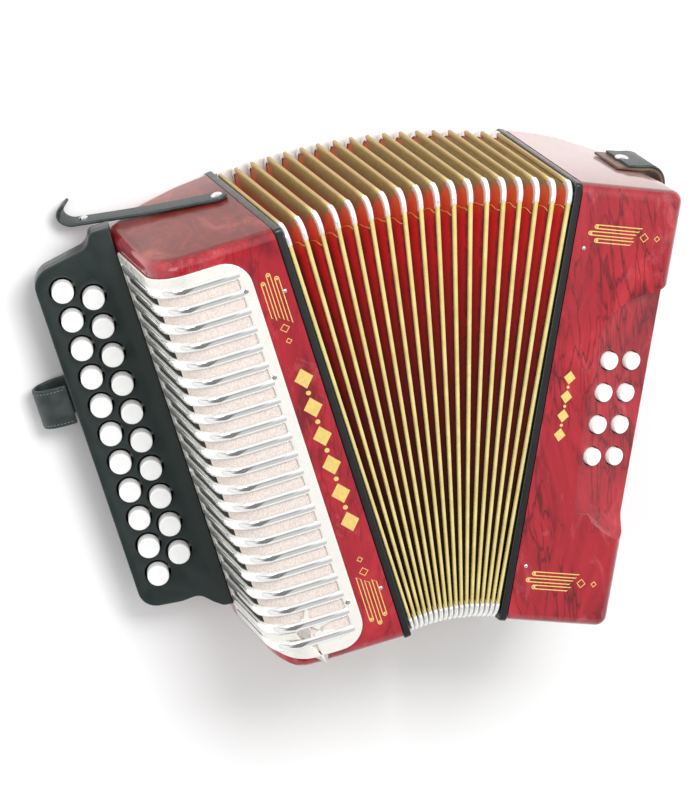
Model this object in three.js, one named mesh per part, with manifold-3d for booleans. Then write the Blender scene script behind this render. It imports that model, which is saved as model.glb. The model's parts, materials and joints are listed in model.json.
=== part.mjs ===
// A two-row button accordion (melodeon) lying on its back, its bellows fanned open at the top.
// Millimetres. +Z comes out of the front face, +Y points to the top of the instrument,
// and X runs from the treble side (left, negative) to the bass side (right, positive).
// Each casing is drawn upright in its own frame: the bellows side is the plane x = 0, the
// bottom end is y = 0 and the flat back is z = 0. A group then leans it by half the fan.
import * as THREE from "three";
import { mergeVertices } from "three/addons/utils/BufferGeometryUtils.js";
import Module from "manifold-3d";

// ---------------------------------------------------------------- driving dimensions
const HEIGHT = 280; // of both casings, bottom end to top end
const DEPTH = 147; // of both casings, flat back to front, at the bellows
const WALL = 6; // casing walls
const END_WALL = 7; // top and bottom ends
const GAP = 0.3; // between pieces that touch
const FAN = THREE.MathUtils.degToRad(27.2); // between the two casings
const FOOT = 66.6; // between the casings at the bottom end

const RIDGES = 18; // outward folds of the bellows; the first and last lie on the frames
const FOLD_DEPTH = 20; // ridge to valley
const CARD = 0.8; // folded card, measured across a flank
const FRAME = 5; // bellows frames
const COLLAR = 2.3; // height of the end ridge on its frame
const RIDGE_CORNER = 9; // corner radius of a ridge
const RIM = 22; // width of a bellows frame's rim
const RIDGE_INSET = 1; // ridges lie this far inside the casing's outline

const BOARD = {
  tilt: THREE.MathUtils.degToRad(13.9), // fingerboard, about the instrument's length
  x: -75.4, // its inner edge on the casing
  z: 44,
  width: 55.3,
  plate: 3.5, // playing surface
  tray: 11.5, // playing surface and rim
  cover: 3, // back cover
};
const KEY = {
  pitch: 19.74, // along a row
  outerRow: 39.3, // from the board's inner edge
  innerRow: 22.5,
  outerCount: 11,
  innerCount: 10,
  firstY: 254.7, // top button of the outer row
  radius: 6.8,
  hole: 8.3,
  proud: 6, // above the board
  lever: 2.4, // lever thickness
};
const AXLE = { x: -62.5, z: 41.5, radius: 1.5, sides: 12 };
const TREBLE_BOARD = { left: -12, right: -7 }; // action board of the treble side
const PALLET = { thick: 3.2, length: 26, width: 15.6, outerZ: 108, innerZ: 74 };

const PANEL = {
  tilt: THREE.MathUtils.degToRad(17), // bass button panel slopes down to the outer side
  x: 26.2, // its inner edge on the front face
  columns: [11.6, 29], // along the slope
  rows: 4,
  firstY: 170.7,
  pitch: 20.5,
  radius: 5.5,
  hole: 6.3,
  proud: 5,
};
const HAND_STRAP = { low: 55, high: 97, thick: 4, bow: 80 }; // z range, thickness, middle x

// ---------------------------------------------------------------- solids from geometries
const wasm = await Module();
wasm.setup();

// A closed geometry as a manifold solid.
function solid(geometry) {
  const bare = geometry.index ? geometry.toNonIndexed() : geometry.clone();
  bare.deleteAttribute("normal");
  bare.deleteAttribute("uv");
  const merged = mergeVertices(bare, 1e-4);
  return new wasm.Manifold(
    new wasm.Mesh({
      numProp: 3,
      vertProperties: new Float32Array(merged.attributes.position.array),
      triVerts: new Uint32Array(merged.index.array),
    }),
  );
}

// A manifold solid as a flat-shaded geometry.
function geometryOf(made) {
  const mesh = made.getMesh();
  const geometry = new THREE.BufferGeometry();
  geometry.setAttribute("position", new THREE.BufferAttribute(mesh.vertProperties, 3));
  geometry.setIndex(new THREE.BufferAttribute(mesh.triVerts, 1));
  const flat = geometry.toNonIndexed();
  flat.computeVertexNormals();
  return flat;
}

function join(...geometries) {
  return geometryOf(geometries.map(solid).reduce((whole, next) => whole.add(next)));
}

function cut(body, ...tools) {
  return geometryOf(tools.map(solid).reduce((left, tool) => left.subtract(tool), solid(body)));
}

// ---------------------------------------------------------------- shapes
const at = (x, y) => new THREE.Vector2(x, y);

// A prism whose section lies in (x, z) and which runs along Y from y0 to y1.
function alongY(section, y0, y1) {
  const shape = new THREE.Shape(section);
  const prism = new THREE.ExtrudeGeometry(shape, { depth: y1 - y0, bevelEnabled: false });
  return prism.rotateX(Math.PI / 2).translate(0, y1, 0);
}

// A plate whose outline lies in (x, y), from z0 up to z1.
function plate(outline, z0, z1, holes = []) {
  const shape = new THREE.Shape(outline);
  shape.holes.push(...holes);
  const slab = new THREE.ExtrudeGeometry(shape, { depth: z1 - z0, bevelEnabled: false });
  return slab.translate(0, 0, z0);
}

function box(x0, x1, y0, y1, z0, z1) {
  const block = new THREE.BoxGeometry(x1 - x0, y1 - y0, z1 - z0);
  return block.translate((x0 + x1) / 2, (y0 + y1) / 2, (z0 + z1) / 2);
}

// Points of an arc in a plane, from one angle to another, in degrees.
function arc(cx, cy, radius, from, to, steps) {
  return Array.from({ length: steps + 1 }, (_, i) => {
    const angle = THREE.MathUtils.degToRad(from + ((to - from) * i) / steps);
    return at(cx + radius * Math.cos(angle), cy + radius * Math.sin(angle));
  });
}

// A round post along Z.
function post(radius, z0, z1, x = 0, y = 0, sides = 16) {
  const rod = new THREE.CylinderGeometry(radius, radius, z1 - z0, sides);
  return rod.rotateX(Math.PI / 2).translate(x, y, (z0 + z1) / 2);
}

// A round rod along Y.
function rodAlongY(radius, y0, y1, x, z, sides) {
  const rod = new THREE.CylinderGeometry(radius, radius, y1 - y0, sides);
  return rod.translate(x, (y0 + y1) / 2, z);
}

// A closed band of constant thickness around a centre line of 2-D points.
function bandOutline(points, thick) {
  const sideOf = (i, side) => {
    const before = points[Math.max(i - 1, 0)];
    const after = points[Math.min(i + 1, points.length - 1)];
    const along = after.clone().sub(before).normalize();
    return points[i].clone().add(at(-along.y, along.x).multiplyScalar((side * thick) / 2));
  };
  const left = points.map((_, i) => sideOf(i, 1));
  const right = points.map((_, i) => sideOf(i, -1));
  return [...right, ...left.reverse()];
}

// Points of a smooth curve through 2-D points.
function smooth(points, steps) {
  return new THREE.SplineCurve(points).getSpacedPoints(steps);
}

function piece(name, geometry, colour, roughness, metalness = 0) {
  const material = new THREE.MeshStandardMaterial({ color: colour, roughness, metalness });
  const mesh = new THREE.Mesh(geometry, material);
  mesh.name = name;
  return mesh;
}

const RED = 0xa8141f;
const WOOD = 0xc79a62;
const BLACK = 0x1b1f1e;
const LEATHER = 0x2a2d2c;
const IVORY = 0xf6f2ea;
const METAL = 0xc9c8c2;

// ---------------------------------------------------------------- bellows
// All ridge planes pass through one line below the instrument, so a fold is drawn by its
// distance r from that line, its angle from the middle plane, and its height z.
const END_PLANE = FRAME + COLLAR;
const HALF_FOOT = FOOT / 2 - END_PLANE / Math.cos(FAN / 2);
const CENTRE_Y = -HALF_FOOT / Math.tan(FAN / 2);
const R_BOTTOM = HALF_FOOT / Math.sin(FAN / 2) + END_PLANE * Math.tan(FAN / 2);
const PITCH = FAN / (RIDGES - 1);

const ridgeAngle = (k) => -FAN / 2 + (k - 1) * PITCH;

// The rounded rectangle (r, z) of a ridge, moved in by a depth.
function ridgeOutline(depth) {
  const low = at(R_BOTTOM + RIDGE_INSET + depth, RIDGE_INSET + depth);
  const high = at(R_BOTTOM + HEIGHT - RIDGE_INSET - depth, DEPTH - RIDGE_INSET - depth);
  const radius = Math.max(RIDGE_CORNER - depth / 2, 2);
  const steps = 3;
  return [
    ...arc(high.x - radius, high.y - radius, radius, 0, 90, steps),
    ...arc(low.x + radius, high.y - radius, radius, 90, 180, steps),
    ...arc(low.x + radius, low.y + radius, radius, 180, 270, steps),
    ...arc(high.x - radius, low.y + radius, radius, 270, 360, steps),
  ];
}

const RIDGE_OUTLINE = ridgeOutline(0);
const VALLEY_OUTLINE = ridgeOutline(FOLD_DEPTH);

function fanPoint(outlinePoint, angle) {
  const { x: r, y: z } = outlinePoint;
  return [r * Math.sin(angle), CENTRE_Y + r * Math.cos(angle), z];
}

// A ring whose section is a closed polygon; loops[j][i] is corner j of the section at
// outline point i.
function ringOf(loops) {
  const count = loops[0].length;
  const positions = loops.flat(2);
  const indices = [];
  loops.forEach((_, j) => {
    const next = (j + 1) % loops.length;
    for (let i = 0; i < count; i += 1) {
      const a = j * count + i;
      const b = j * count + ((i + 1) % count);
      const c = next * count + ((i + 1) % count);
      const d = next * count + i;
      indices.push(a, b, c, a, c, d);
    }
  });
  const geometry = new THREE.BufferGeometry();
  geometry.setAttribute("position", new THREE.Float32BufferAttribute(positions, 3));
  geometry.setIndex(indices);
  return geometry;
}

// One V of the bellows: down the right flank of ridge k to the valley and up to ridge k + 1.
function pleat(k) {
  const from = ridgeAngle(k);
  const to = ridgeAngle(k + 1);
  const middle = (from + to) / 2;
  const loops = [[], [], [], [], [], []];
  RIDGE_OUTLINE.forEach((ridge, i) => {
    const valley = VALLEY_OUTLINE[i];
    const half = (ridge.x * PITCH) / 2;
    const clear = GAP / 2;
    const floor = (half - clear - CARD) / (half - clear); // share of the depth that is open
    const inner = ridge.clone().lerp(valley, floor);
    loops[0].push(fanPoint(ridge, from + clear / ridge.x));
    loops[1].push(fanPoint(ridge, from + (clear + CARD) / ridge.x));
    loops[2].push(fanPoint(inner, middle));
    loops[3].push(fanPoint(ridge, to - (clear + CARD) / ridge.x));
    loops[4].push(fanPoint(ridge, to - clear / ridge.x));
    loops[5].push(fanPoint(valley, middle));
  });
  return ringOf(loops);
}

// A flat ring in a casing's own frame, for the bellows frame and the end ridge on it.
function endRing(outer, inner, x0, x1) {
  const shape = new THREE.Shape(outer);
  shape.holes.push(new THREE.Path(inner));
  const ring = new THREE.ExtrudeGeometry(shape, { depth: x1 - x0, bevelEnabled: false });
  // (outline x, outline y, thickness) becomes (y, z, x)
  ring.applyMatrix4(new THREE.Matrix4().set(0, 0, 1, x0, 1, 0, 0, 0, 0, 1, 0, 0, 0, 0, 0, 1));
  return ring;
}

const outlineBox = (inset) => [
  at(inset, inset),
  at(HEIGHT - inset, inset),
  at(HEIGHT - inset, DEPTH - inset),
  at(inset, DEPTH - inset),
];

// The frame, its end ridge and the first pleat, which is glued to it. side is -1 or 1.
function bellowsFrame(side) {
  const lean = new THREE.Matrix4()
    .makeTranslation((side * FOOT) / 2, 0, 0)
    .multiply(new THREE.Matrix4().makeRotationZ((-side * FAN) / 2));
  const span = (x0, x1) => (side < 0 ? [x0, x1] : [-x1, -x0]);
  const frame = endRing(outlineBox(0), outlineBox(RIM), ...span(GAP, FRAME));
  const ridge = RIDGE_OUTLINE.map((p) => at(p.x - R_BOTTOM, p.y));
  const low = outlineBox(RIM);
  const collar = endRing(ridge, low, ...span(FRAME - GAP, END_PLANE + CARD));
  const end = pleat(side < 0 ? 1 : RIDGES - 1);
  return join(frame.applyMatrix4(lean), collar.applyMatrix4(lean), end);
}

// ---------------------------------------------------------------- treble side
const treble = new THREE.Group();
treble.position.x = -FOOT / 2;
treble.rotation.z = FAN / 2;

// Section of the casing: flat back by the bellows, rising to the fingerboard; the front
// slopes back to a rounded corner and down the side that carries the fingerboard.
const FRONT_SLOPE = 0.2465;
const frontZ = (x) => DEPTH + FRONT_SLOPE * x;
const TREBLE_SIDE = -75;
const SPLAY = { from: -44, rise: 17 }; // the bottom end slopes up towards the outer side

function trebleSection(inset, open) {
  const side = TREBLE_SIDE + inset;
  const corner = 16 - inset / 2;
  const turn = frontZ(side + corner) - inset - corner;
  return [
    at(open, inset),
    at(-22, inset),
    at(-48 + inset / 3, 7 + inset),
    at(side, 25 + inset / 2),
    at(side, turn),
    ...arc(side + corner, turn, corner, 165, 104, 3),
    at(open, frontZ(open) - inset),
  ];
}

// What the sloping stretch of the bottom end takes away, raised by a distance.
function belowSplay(lift) {
  const reach = 2 * SPLAY.from;
  const fall = (SPLAY.rise / (SPLAY.from - TREBLE_SIDE)) * (SPLAY.from - reach);
  const triangle = [at(SPLAY.from, lift), at(reach, fall + lift), at(reach, lift)];
  return plate(triangle, -1, DEPTH + 10);
}

function trebleCasing() {
  const shell = cut(alongY(trebleSection(0, 0), 0, HEIGHT), belowSplay(0));
  const room = alongY(trebleSection(WALL, 1), END_WALL, HEIGHT - END_WALL);
  const inside = cut(room, belowSplay(END_WALL));
  const window = [at(-24, 120), at(-24, 160), at(-56, 160), at(-56, 120)];
  const sideWindow = [at(-90, 62), at(-64, 62), at(-64, 108), at(-90, 108)];
  const leverSlot = [at(-90, 29), at(-64, 29), at(-64, 46), at(-90, 46)];
  return cut(
    shell,
    inside,
    alongY(window, 20, 256),
    alongY(sideWindow, 30, 256),
    alongY(leverSlot, 34, 264),
  );
}
treble.add(piece("treble_casing", trebleCasing(), RED, 0.2));

// Slotted sheet-metal cover over the front and the outer side.
const GRILLE = { thick: 1.6, right: -23, low: 49, bottom: 3, top: 270 };
const SLOT = { count: 20, pitch: 12.12, width: 7.6, first: 24, right: -28 }; // first: middle of the lowest

function grillePath(lift) {
  const side = TREBLE_SIDE - lift;
  const corner = 16 + lift;
  const turn = frontZ(side + corner) + lift - corner;
  return [
    at(GRILLE.right, frontZ(GRILLE.right) + lift),
    ...arc(side + corner, turn, corner, 104, 180, 4),
    at(side, GRILLE.low),
  ];
}

function trebleGrille() {
  const inner = grillePath(GAP);
  const outer = grillePath(GAP + GRILLE.thick);
  const sheet = alongY([...inner, ...outer.reverse()], GRILLE.bottom, GRILLE.top);
  const end = SLOT.right;
  const reach = [at(-90, 58), at(-60, 58), at(-60, 100), at(end, 100), at(end, 160), at(-90, 160)];
  const slots = Array.from({ length: SLOT.count }, (_, i) => {
    const y = SLOT.first + i * SLOT.pitch;
    return alongY(reach, y - SLOT.width / 2, y + SLOT.width / 2);
  });
  return cut(sheet, belowSplay(0.5), ...slots);
}
treble.add(piece("treble_grille", trebleGrille(), METAL, 0.25, 0.8));

// Fingerboard, in a frame that leans with it: x runs inward, z out of the playing surface.
const board = new THREE.Group();
board.position.set(BOARD.x, 0, BOARD.z);
board.rotation.y = -BOARD.tilt;
treble.add(board);

const toBoardFrame = new THREE.Matrix4()
  .makeRotationY(BOARD.tilt)
  .multiply(new THREE.Matrix4().makeTranslation(-BOARD.x, 0, -BOARD.z));

// Everything on the casing's side of the board's inner edge.
const beyondEdge = box(TREBLE_SIDE - GAP, 0, -10, HEIGHT + 10, 0, 90).applyMatrix4(toBoardFrame);

function boardOutline(inset) {
  const outer = -BOARD.width + inset;
  const corner = 12 - inset;
  return [
    at(-0.3, 22 + inset),
    at(-7, 24 + inset),
    at(-18, 36 + inset),
    ...arc(outer + corner, 38.5 + inset + corner, corner, 270, 180, 3),
    ...arc(outer + corner, 271 - inset - corner, corner, 180, 100, 3),
    at(-22.5, 273.5 - inset),
    at(-15.5, 278.5 - inset),
    at(-10.5, 284.5 - inset),
    at(-0.3, 284.5 - inset),
  ];
}

const keyRows = [
  { name: "outer", count: KEY.outerCount, x: -KEY.outerRow, y: KEY.firstY, palletZ: PALLET.outerZ },
  {
    name: "inner",
    count: KEY.innerCount,
    x: -KEY.innerRow,
    y: KEY.firstY - KEY.pitch / 2,
    palletZ: PALLET.innerZ,
  },
];
const keys = keyRows.flatMap((row) =>
  Array.from({ length: row.count }, (_, i) => ({
    name: `treble_key_${row.name}_${String(i + 1).padStart(2, "0")}`,
    x: row.x,
    y: row.y - i * KEY.pitch,
    palletZ: row.palletZ,
  })),
);

function fingerboard() {
  const rim = 4;
  const holes = keys.map((key) => new THREE.Path(arc(key.x, key.y, KEY.hole, 0, 330, 11)));
  const surface = plate(boardOutline(0), -BOARD.plate, 0, holes);
  const tray = plate(boardOutline(0), -BOARD.tray, -BOARD.plate);
  const hollow = plate(boardOutline(rim), -BOARD.tray - 1, -BOARD.plate);
  const mouth = box(-5, 1, 34, 264, -BOARD.tray - 1, -BOARD.plate);
  return cut(join(surface, cut(tray, hollow, mouth)), beyondEdge);
}
board.add(piece("fingerboard", fingerboard(), BLACK, 0.35));

const coverTop = -BOARD.tray - GAP;
const cover = cut(plate(boardOutline(0.5), coverTop - BOARD.cover, coverTop), beyondEdge);
board.add(piece("fingerboard_cover", cover, BLACK, 0.45));

// Leather loop for the thumb: out from the board's edge and back behind it.
const THUMB = { middle: 180, width: 26, thick: 2.6 };
const thumbPath = smooth(
  [
    at(-57, -5.5),
    at(-66, -6),
    at(-74, -8.5),
    at(-77.5, -14),
    at(-73.5, -20.5),
    at(-62, -23.5),
    at(-46, -23),
    at(-34, -18.5),
    at(-22, -16.7),
  ],
  22,
);
const thumbStrap = alongY(
  bandOutline(thumbPath, THUMB.thick),
  THUMB.middle - THUMB.width / 2,
  THUMB.middle + THUMB.width / 2,
);
board.add(piece("thumb_strap", thumbStrap, LEATHER, 0.5));

// Key lever: button, arm to the axle, and a rising arm that holds its pallet on the board.
const toBoard = (x, z) =>
  at(
    (x - BOARD.x) * Math.cos(BOARD.tilt) + (z - BOARD.z) * Math.sin(BOARD.tilt),
    (z - BOARD.z) * Math.cos(BOARD.tilt) - (x - BOARD.x) * Math.sin(BOARD.tilt),
  );

function trebleKey(key) {
  const axle = toBoard(AXLE.x, AXLE.z);
  const facing = TREBLE_BOARD.left - GAP;
  const back = toBoard(facing - PALLET.thick, key.palletZ);
  const armTop = -5;
  const armLow = -8.6;
  const grip = AXLE.radius + 1.9;
  const arm = alongY(
    [
      at(key.x - 2, armLow),
      at(axle.x - grip, armLow),
      at(axle.x, axle.y - grip),
      at(axle.x + grip, axle.y - 1),
      at(back.x + 0.6, back.y - 3),
      at(back.x + 0.6, back.y + 3),
      at(axle.x - 1, axle.y + grip),
      at(axle.x - 5, armTop),
      at(key.x - 2, armTop),
    ],
    key.y - KEY.lever / 2,
    key.y + KEY.lever / 2,
  );
  const bore = AXLE.radius + GAP;
  const hole = rodAlongY(bore, key.y - 5, key.y + 5, axle.x, axle.y, AXLE.sides);
  const stem = post(2, armTop - 2, -0.5, key.x, key.y, 8);
  const button = post(KEY.radius, -1.5, KEY.proud, key.x, key.y);
  const pallet = box(
    facing - PALLET.thick,
    facing,
    key.y - PALLET.width / 2,
    key.y + PALLET.width / 2,
    key.palletZ - PALLET.length / 2,
    key.palletZ + PALLET.length / 2,
  );
  return join(cut(arm, hole), stem, button, pallet.applyMatrix4(toBoardFrame));
}
keys.forEach((key) => board.add(piece(key.name, trebleKey(key), IVORY, 0.25)));

const axleRod = rodAlongY(
  AXLE.radius,
  SPLAY.rise + END_WALL + GAP,
  HEIGHT - END_WALL - GAP,
  AXLE.x,
  AXLE.z,
  AXLE.sides,
);
treble.add(piece("treble_key_axle", axleRod, METAL, 0.3, 0.9));

// Action board: closes the casing towards the bellows, with a port under every pallet.
function actionBoard(outline, ports) {
  return cut(alongY(outline, END_WALL + GAP, HEIGHT - END_WALL - GAP), ...ports);
}

function treblePort(key) {
  const across = PALLET.width / 2 - 3;
  const along = PALLET.length / 2 - 4;
  return box(-20, 0, key.y - across, key.y + across, key.palletZ - along, key.palletZ + along);
}

const trebleBoardOutline = [
  at(TREBLE_BOARD.right, WALL + GAP),
  at(TREBLE_BOARD.right, frontZ(TREBLE_BOARD.right) - WALL - GAP),
  at(TREBLE_BOARD.left, frontZ(TREBLE_BOARD.left) - WALL - GAP),
  at(TREBLE_BOARD.left, WALL + GAP),
];
const trebleBoard = actionBoard(trebleBoardOutline, keys.map(treblePort));
treble.add(piece("treble_action_board", trebleBoard, WOOD, 0.6));

// Reed block: a comb of chambers that stands on the action board inside the bellows.
function reedBlock(x0, x1, z0, z1, chambers) {
  const low = 32;
  const high = HEIGHT - 32;
  const block = box(x0, x1, low, high, z0, z1);
  const pitch = (high - low) / chambers;
  const slots = Array.from({ length: chambers }, (_, i) => {
    const y = low + (i + 0.5) * pitch;
    const half = pitch / 2 - 1.5;
    const middle = (z0 + z1) / 2;
    return [
      box(x0 + 3, x1 - 3, y - half, y + half, z0 - 1, middle - 2),
      box(x0 + 3, x1 - 3, y - half, y + half, middle + 2, z1 + 1),
    ];
  }).flat();
  return cut(block, ...slots);
}
const trebleReeds = reedBlock(TREBLE_BOARD.right + GAP, 28, 62, 118, 10);
treble.add(piece("treble_reed_block", trebleReeds, WOOD, 0.6));

// Bellows strap: turns on a screw on the top end; its snap end is parked past the casing.
// Drawn along x from the screw, z out of the top end, and turned to where it lies.
const STRAP = { x: -8, z: 57, length: 87, width: 9, thick: 2.4, turn: 149.5, lift: 0.5 };
function bellowsStrap() {
  const half = STRAP.width / 2;
  const middle = STRAP.lift + STRAP.thick / 2;
  const end = STRAP.length;
  const path = smooth(
    [
      at(0, middle),
      at(end / 2, middle + 0.6),
      at(end, middle + 2.6),
      at(end + 9, middle + 3.6),
      at(end + 13.6, middle + 8),
      at(end + 12.6, middle + 13),
      at(end + 8, middle + 16.5),
    ],
    26,
  );
  const band = alongY(bandOutline(path, STRAP.thick), -half, half);
  return join(post(half, STRAP.lift, STRAP.lift + STRAP.thick, 0, 0, 14), band);
}
const strapGroup = new THREE.Group();
strapGroup.position.set(STRAP.x, HEIGHT, STRAP.z);
strapGroup.rotation.set(-Math.PI / 2, 0, THREE.MathUtils.degToRad(STRAP.turn), "XYZ");
strapGroup.add(piece("bellows_strap", bellowsStrap(), LEATHER, 0.45));
treble.add(strapGroup);

// ---------------------------------------------------------------- bass side
const bass = new THREE.Group();
bass.position.x = FOOT / 2;
bass.rotation.z = -FAN / 2;

const SIDE = { lowX: 52, lowZ: 34, highX: 67, highZ: 116 }; // slope of the outer side
const BASS_OUTER = [
  at(0, 0),
  at(22, 0),
  at(36, 9),
  at(SIDE.lowX, SIDE.lowZ),
  at(SIDE.highX, SIDE.highZ),
  ...arc(60.5, DEPTH - 7.5, 7.5, 0, 90, 4),
  at(0, DEPTH),
];
const BASS_INNER = [
  at(-1, WALL),
  at(19, WALL),
  at(31, 13),
  at(44, 36),
  at(56, 110),
  at(54, 124),
  at(24, DEPTH - WALL),
  at(-1, DEPTH - WALL),
];

// Bass button panel: its frame lies on the slope, z out of it.
const panelMatrix = new THREE.Matrix4()
  .makeTranslation(PANEL.x, 0, DEPTH)
  .multiply(new THREE.Matrix4().makeRotationY(PANEL.tilt));

const bassKeys = PANEL.columns.flatMap((x, column) =>
  Array.from({ length: PANEL.rows }, (_, i) => ({
    name: `bass_key_${column ? "outer" : "inner"}_${i + 1}`,
    x,
    y: PANEL.firstY - i * PANEL.pitch,
  })),
);

const AIR = { y: 205, z: 108, radius: 5, hole: 3.4, proud: 5 };
const SIDE_LEAN = Math.atan2(SIDE.highX - SIDE.lowX, SIDE.highZ - SIDE.lowZ); // from upright
const airMatrix = new THREE.Matrix4()
  .makeTranslation(SIDE.lowX + (AIR.z - SIDE.lowZ) * Math.tan(SIDE_LEAN), AIR.y, AIR.z)
  .multiply(new THREE.Matrix4().makeRotationY(Math.PI / 2 + SIDE_LEAN));

function bassCasing() {
  const shell = alongY(BASS_OUTER, 0, HEIGHT);
  const inside = alongY(BASS_INNER, END_WALL, HEIGHT - END_WALL);
  const outline = [at(5, 70), at(60, 70), at(60, 217), ...arc(36, 180, 35, 90, 180, 6)];
  const scoop = plate(outline, 0, 40);
  const holes = bassKeys.map((key) => post(PANEL.hole, -30, 10, key.x, key.y));
  const airHole = post(AIR.hole, -12, 4, 0, 0, 12);
  return cut(
    shell,
    inside,
    scoop.applyMatrix4(panelMatrix),
    ...holes.map((hole) => hole.applyMatrix4(panelMatrix)),
    airHole.applyMatrix4(airMatrix),
  );
}
bass.add(piece("bass_casing", bassCasing(), RED, 0.2));

const panel = new THREE.Group();
panel.applyMatrix4(panelMatrix);
bass.add(panel);
function bassKey(key) {
  const button = post(PANEL.radius, -14, PANEL.proud, key.x, key.y);
  const stem = post(2, -26, -13, key.x, key.y, 8);
  return join(button, stem);
}
bassKeys.forEach((key) => panel.add(piece(key.name, bassKey(key), IVORY, 0.25)));

// Air button: a cap on a stem through the outer side, beside the hand strap.
const airGroup = new THREE.Group();
airGroup.applyMatrix4(airMatrix);
airGroup.add(
  piece("air_button", join(post(AIR.radius, 4, 8), post(2.4, -14, 5, 0, 0, 12)), IVORY, 0.3),
);
bass.add(airGroup);

const BASS_BOARD = { left: 7, right: 12 };
const bassBoardOutline = [
  at(BASS_BOARD.left, WALL + GAP),
  at(BASS_BOARD.right, WALL + GAP),
  at(BASS_BOARD.right, DEPTH - WALL - GAP),
  at(BASS_BOARD.left, DEPTH - WALL - GAP),
];
const bassPorts = bassKeys.slice(0, PANEL.rows).flatMap((key) => [
  box(0, 20, key.y - 6, key.y + 6, 44, 64),
  box(0, 20, key.y - 6, key.y + 6, 84, 104),
]);
const bassBoard = actionBoard(bassBoardOutline, bassPorts);
bass.add(piece("bass_action_board", bassBoard, WOOD, 0.6));
const bassReeds = reedBlock(-16, BASS_BOARD.left - GAP, 40, 108, 8);
bass.add(piece("bass_reed_block", bassReeds, WOOD, 0.6));

// Hand strap: over the top end, down the outer side and under the bottom end.
function handStrap() {
  const rest = GAP + HAND_STRAP.thick / 2;
  const topHalf = [
    at(41, HEIGHT + rest),
    at(55, HEIGHT + rest + 0.2),
    at(66, HEIGHT + rest + 0.6),
    at(72.5, HEIGHT - 4),
    at(73.5, HEIGHT - 22),
    at(77, HEIGHT - 70),
  ];
  const lowHalf = topHalf.map((p) => at(p.x, HEIGHT - p.y)).reverse();
  const path = smooth([...topHalf, at(HAND_STRAP.bow, HEIGHT / 2), ...lowHalf], 44);
  return plate(bandOutline(path, HAND_STRAP.thick), HAND_STRAP.low, HAND_STRAP.high);
}
bass.add(piece("hand_strap", handStrap(), LEATHER, 0.5));

// ---------------------------------------------------------------- the whole instrument
const instrument = new THREE.Group();
instrument.add(treble, bass);
instrument.add(piece("treble_bellows_frame", bellowsFrame(-1), BLACK, 0.35));
instrument.add(piece("bass_bellows_frame", bellowsFrame(1), BLACK, 0.35));
for (let k = 2; k < RIDGES - 1; k += 1) {
  instrument.add(piece(`bellows_fold_${String(k).padStart(2, "0")}`, pleat(k), 0xb0202a, 0.7));
}

// The origin is at the middle of the outline, on the surface that the back rests on.
const whole = new THREE.Group();
whole.add(instrument);
const bounds = new THREE.Box3().setFromObject(instrument, true);
instrument.position.x = -(bounds.min.x + bounds.max.x) / 2;
instrument.position.y = -(bounds.min.y + bounds.max.y) / 2;

export default whole;
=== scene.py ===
"""A two-row button accordion lying on its back, its bellows fanned open, on a pale floor.

Shapes are drawn in millimetres in three frames: each casing's own frame (x = 0 is its bellows
side, y = 0 its bottom end, z = 0 its back) and the instrument's, between the two.
"""

import json
import math

import bmesh
import bpy
import numpy as np
from mathutils import Euler, Matrix, Vector


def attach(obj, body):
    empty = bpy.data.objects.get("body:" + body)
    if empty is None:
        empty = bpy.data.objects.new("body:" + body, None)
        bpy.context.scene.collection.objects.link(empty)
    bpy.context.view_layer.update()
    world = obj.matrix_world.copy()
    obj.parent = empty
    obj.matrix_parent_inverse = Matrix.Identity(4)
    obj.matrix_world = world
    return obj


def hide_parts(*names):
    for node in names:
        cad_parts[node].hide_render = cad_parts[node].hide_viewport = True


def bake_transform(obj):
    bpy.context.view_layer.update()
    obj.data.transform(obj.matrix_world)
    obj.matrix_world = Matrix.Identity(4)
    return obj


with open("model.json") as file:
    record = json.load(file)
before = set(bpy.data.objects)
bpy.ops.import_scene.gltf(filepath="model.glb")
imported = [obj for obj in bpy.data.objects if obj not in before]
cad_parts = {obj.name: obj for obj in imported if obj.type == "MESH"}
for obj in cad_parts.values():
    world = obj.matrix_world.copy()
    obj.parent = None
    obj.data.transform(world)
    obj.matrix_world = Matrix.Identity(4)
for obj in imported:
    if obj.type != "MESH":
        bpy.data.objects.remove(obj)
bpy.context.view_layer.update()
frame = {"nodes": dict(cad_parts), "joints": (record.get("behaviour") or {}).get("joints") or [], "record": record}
MM = 0.001

# ---------------------------------------------------------------- dimensions, millimetres
HEIGHT = 280
DEPTH = 147
MID_Y = 139  # height of the two mounts
RIDGES = 18
FOLD_DEPTH = 20
FRAME_THICK = 5
END_PLANE = 7.3  # the first ridge's plane, from the casing
RIDGE_INSET = 1
RIDGE_CORNER = 9

SIDE_X = -75  # outer side of the treble casing
SLOPE = 0.2465  # of the treble front
FRONT_CORNER = 26  # radius between the treble front and side
END_ROUND = 7  # rounding of the casings' ends
WALL = 7  # of the casings' ends
# The treble bottom end curves up towards the fingerboard: x, and how far it has risen there.
SPLAY = ((-48, 0), (-56, 0.3), (-61, 1.3), (-66, 3.4), (-70, 6.4), (-75, 11.5), (-82, 19), (-100, 40))

BOARD = {"x": -75.4, "z": 44, "tilt": math.radians(13.9)}
BUTTON_PITCH = 19.74
FIRST_BUTTON = 254.7
OUTER_ROW, INNER_ROW = -39.3, -22.5
AXLE_X, AXLE_Z = -62.5, 41.5
PALLET_FACE = -12.3  # where the closed treble pallets meet their board

PANEL = {"x": 26.2, "tilt": math.radians(17)}
PANEL_COLUMNS = (11.6, 29.0)
PANEL_FIRST, PANEL_PITCH = 170.7, 20.5
BASS_SIDE = 68

# ---------------------------------------------------------------- frames
record = frame["record"]
mounts = {m["name"]: Vector(m["pos_m"]) / MM for m in record["mounts"]}
strap_joint = next(j for j in frame["joints"] if j["name"] == "bellows_strap_turn")
LEAN = math.atan2(strap_joint["axis"][0], -strap_joint["axis"][1])
FAN = 2 * LEAN


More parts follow.
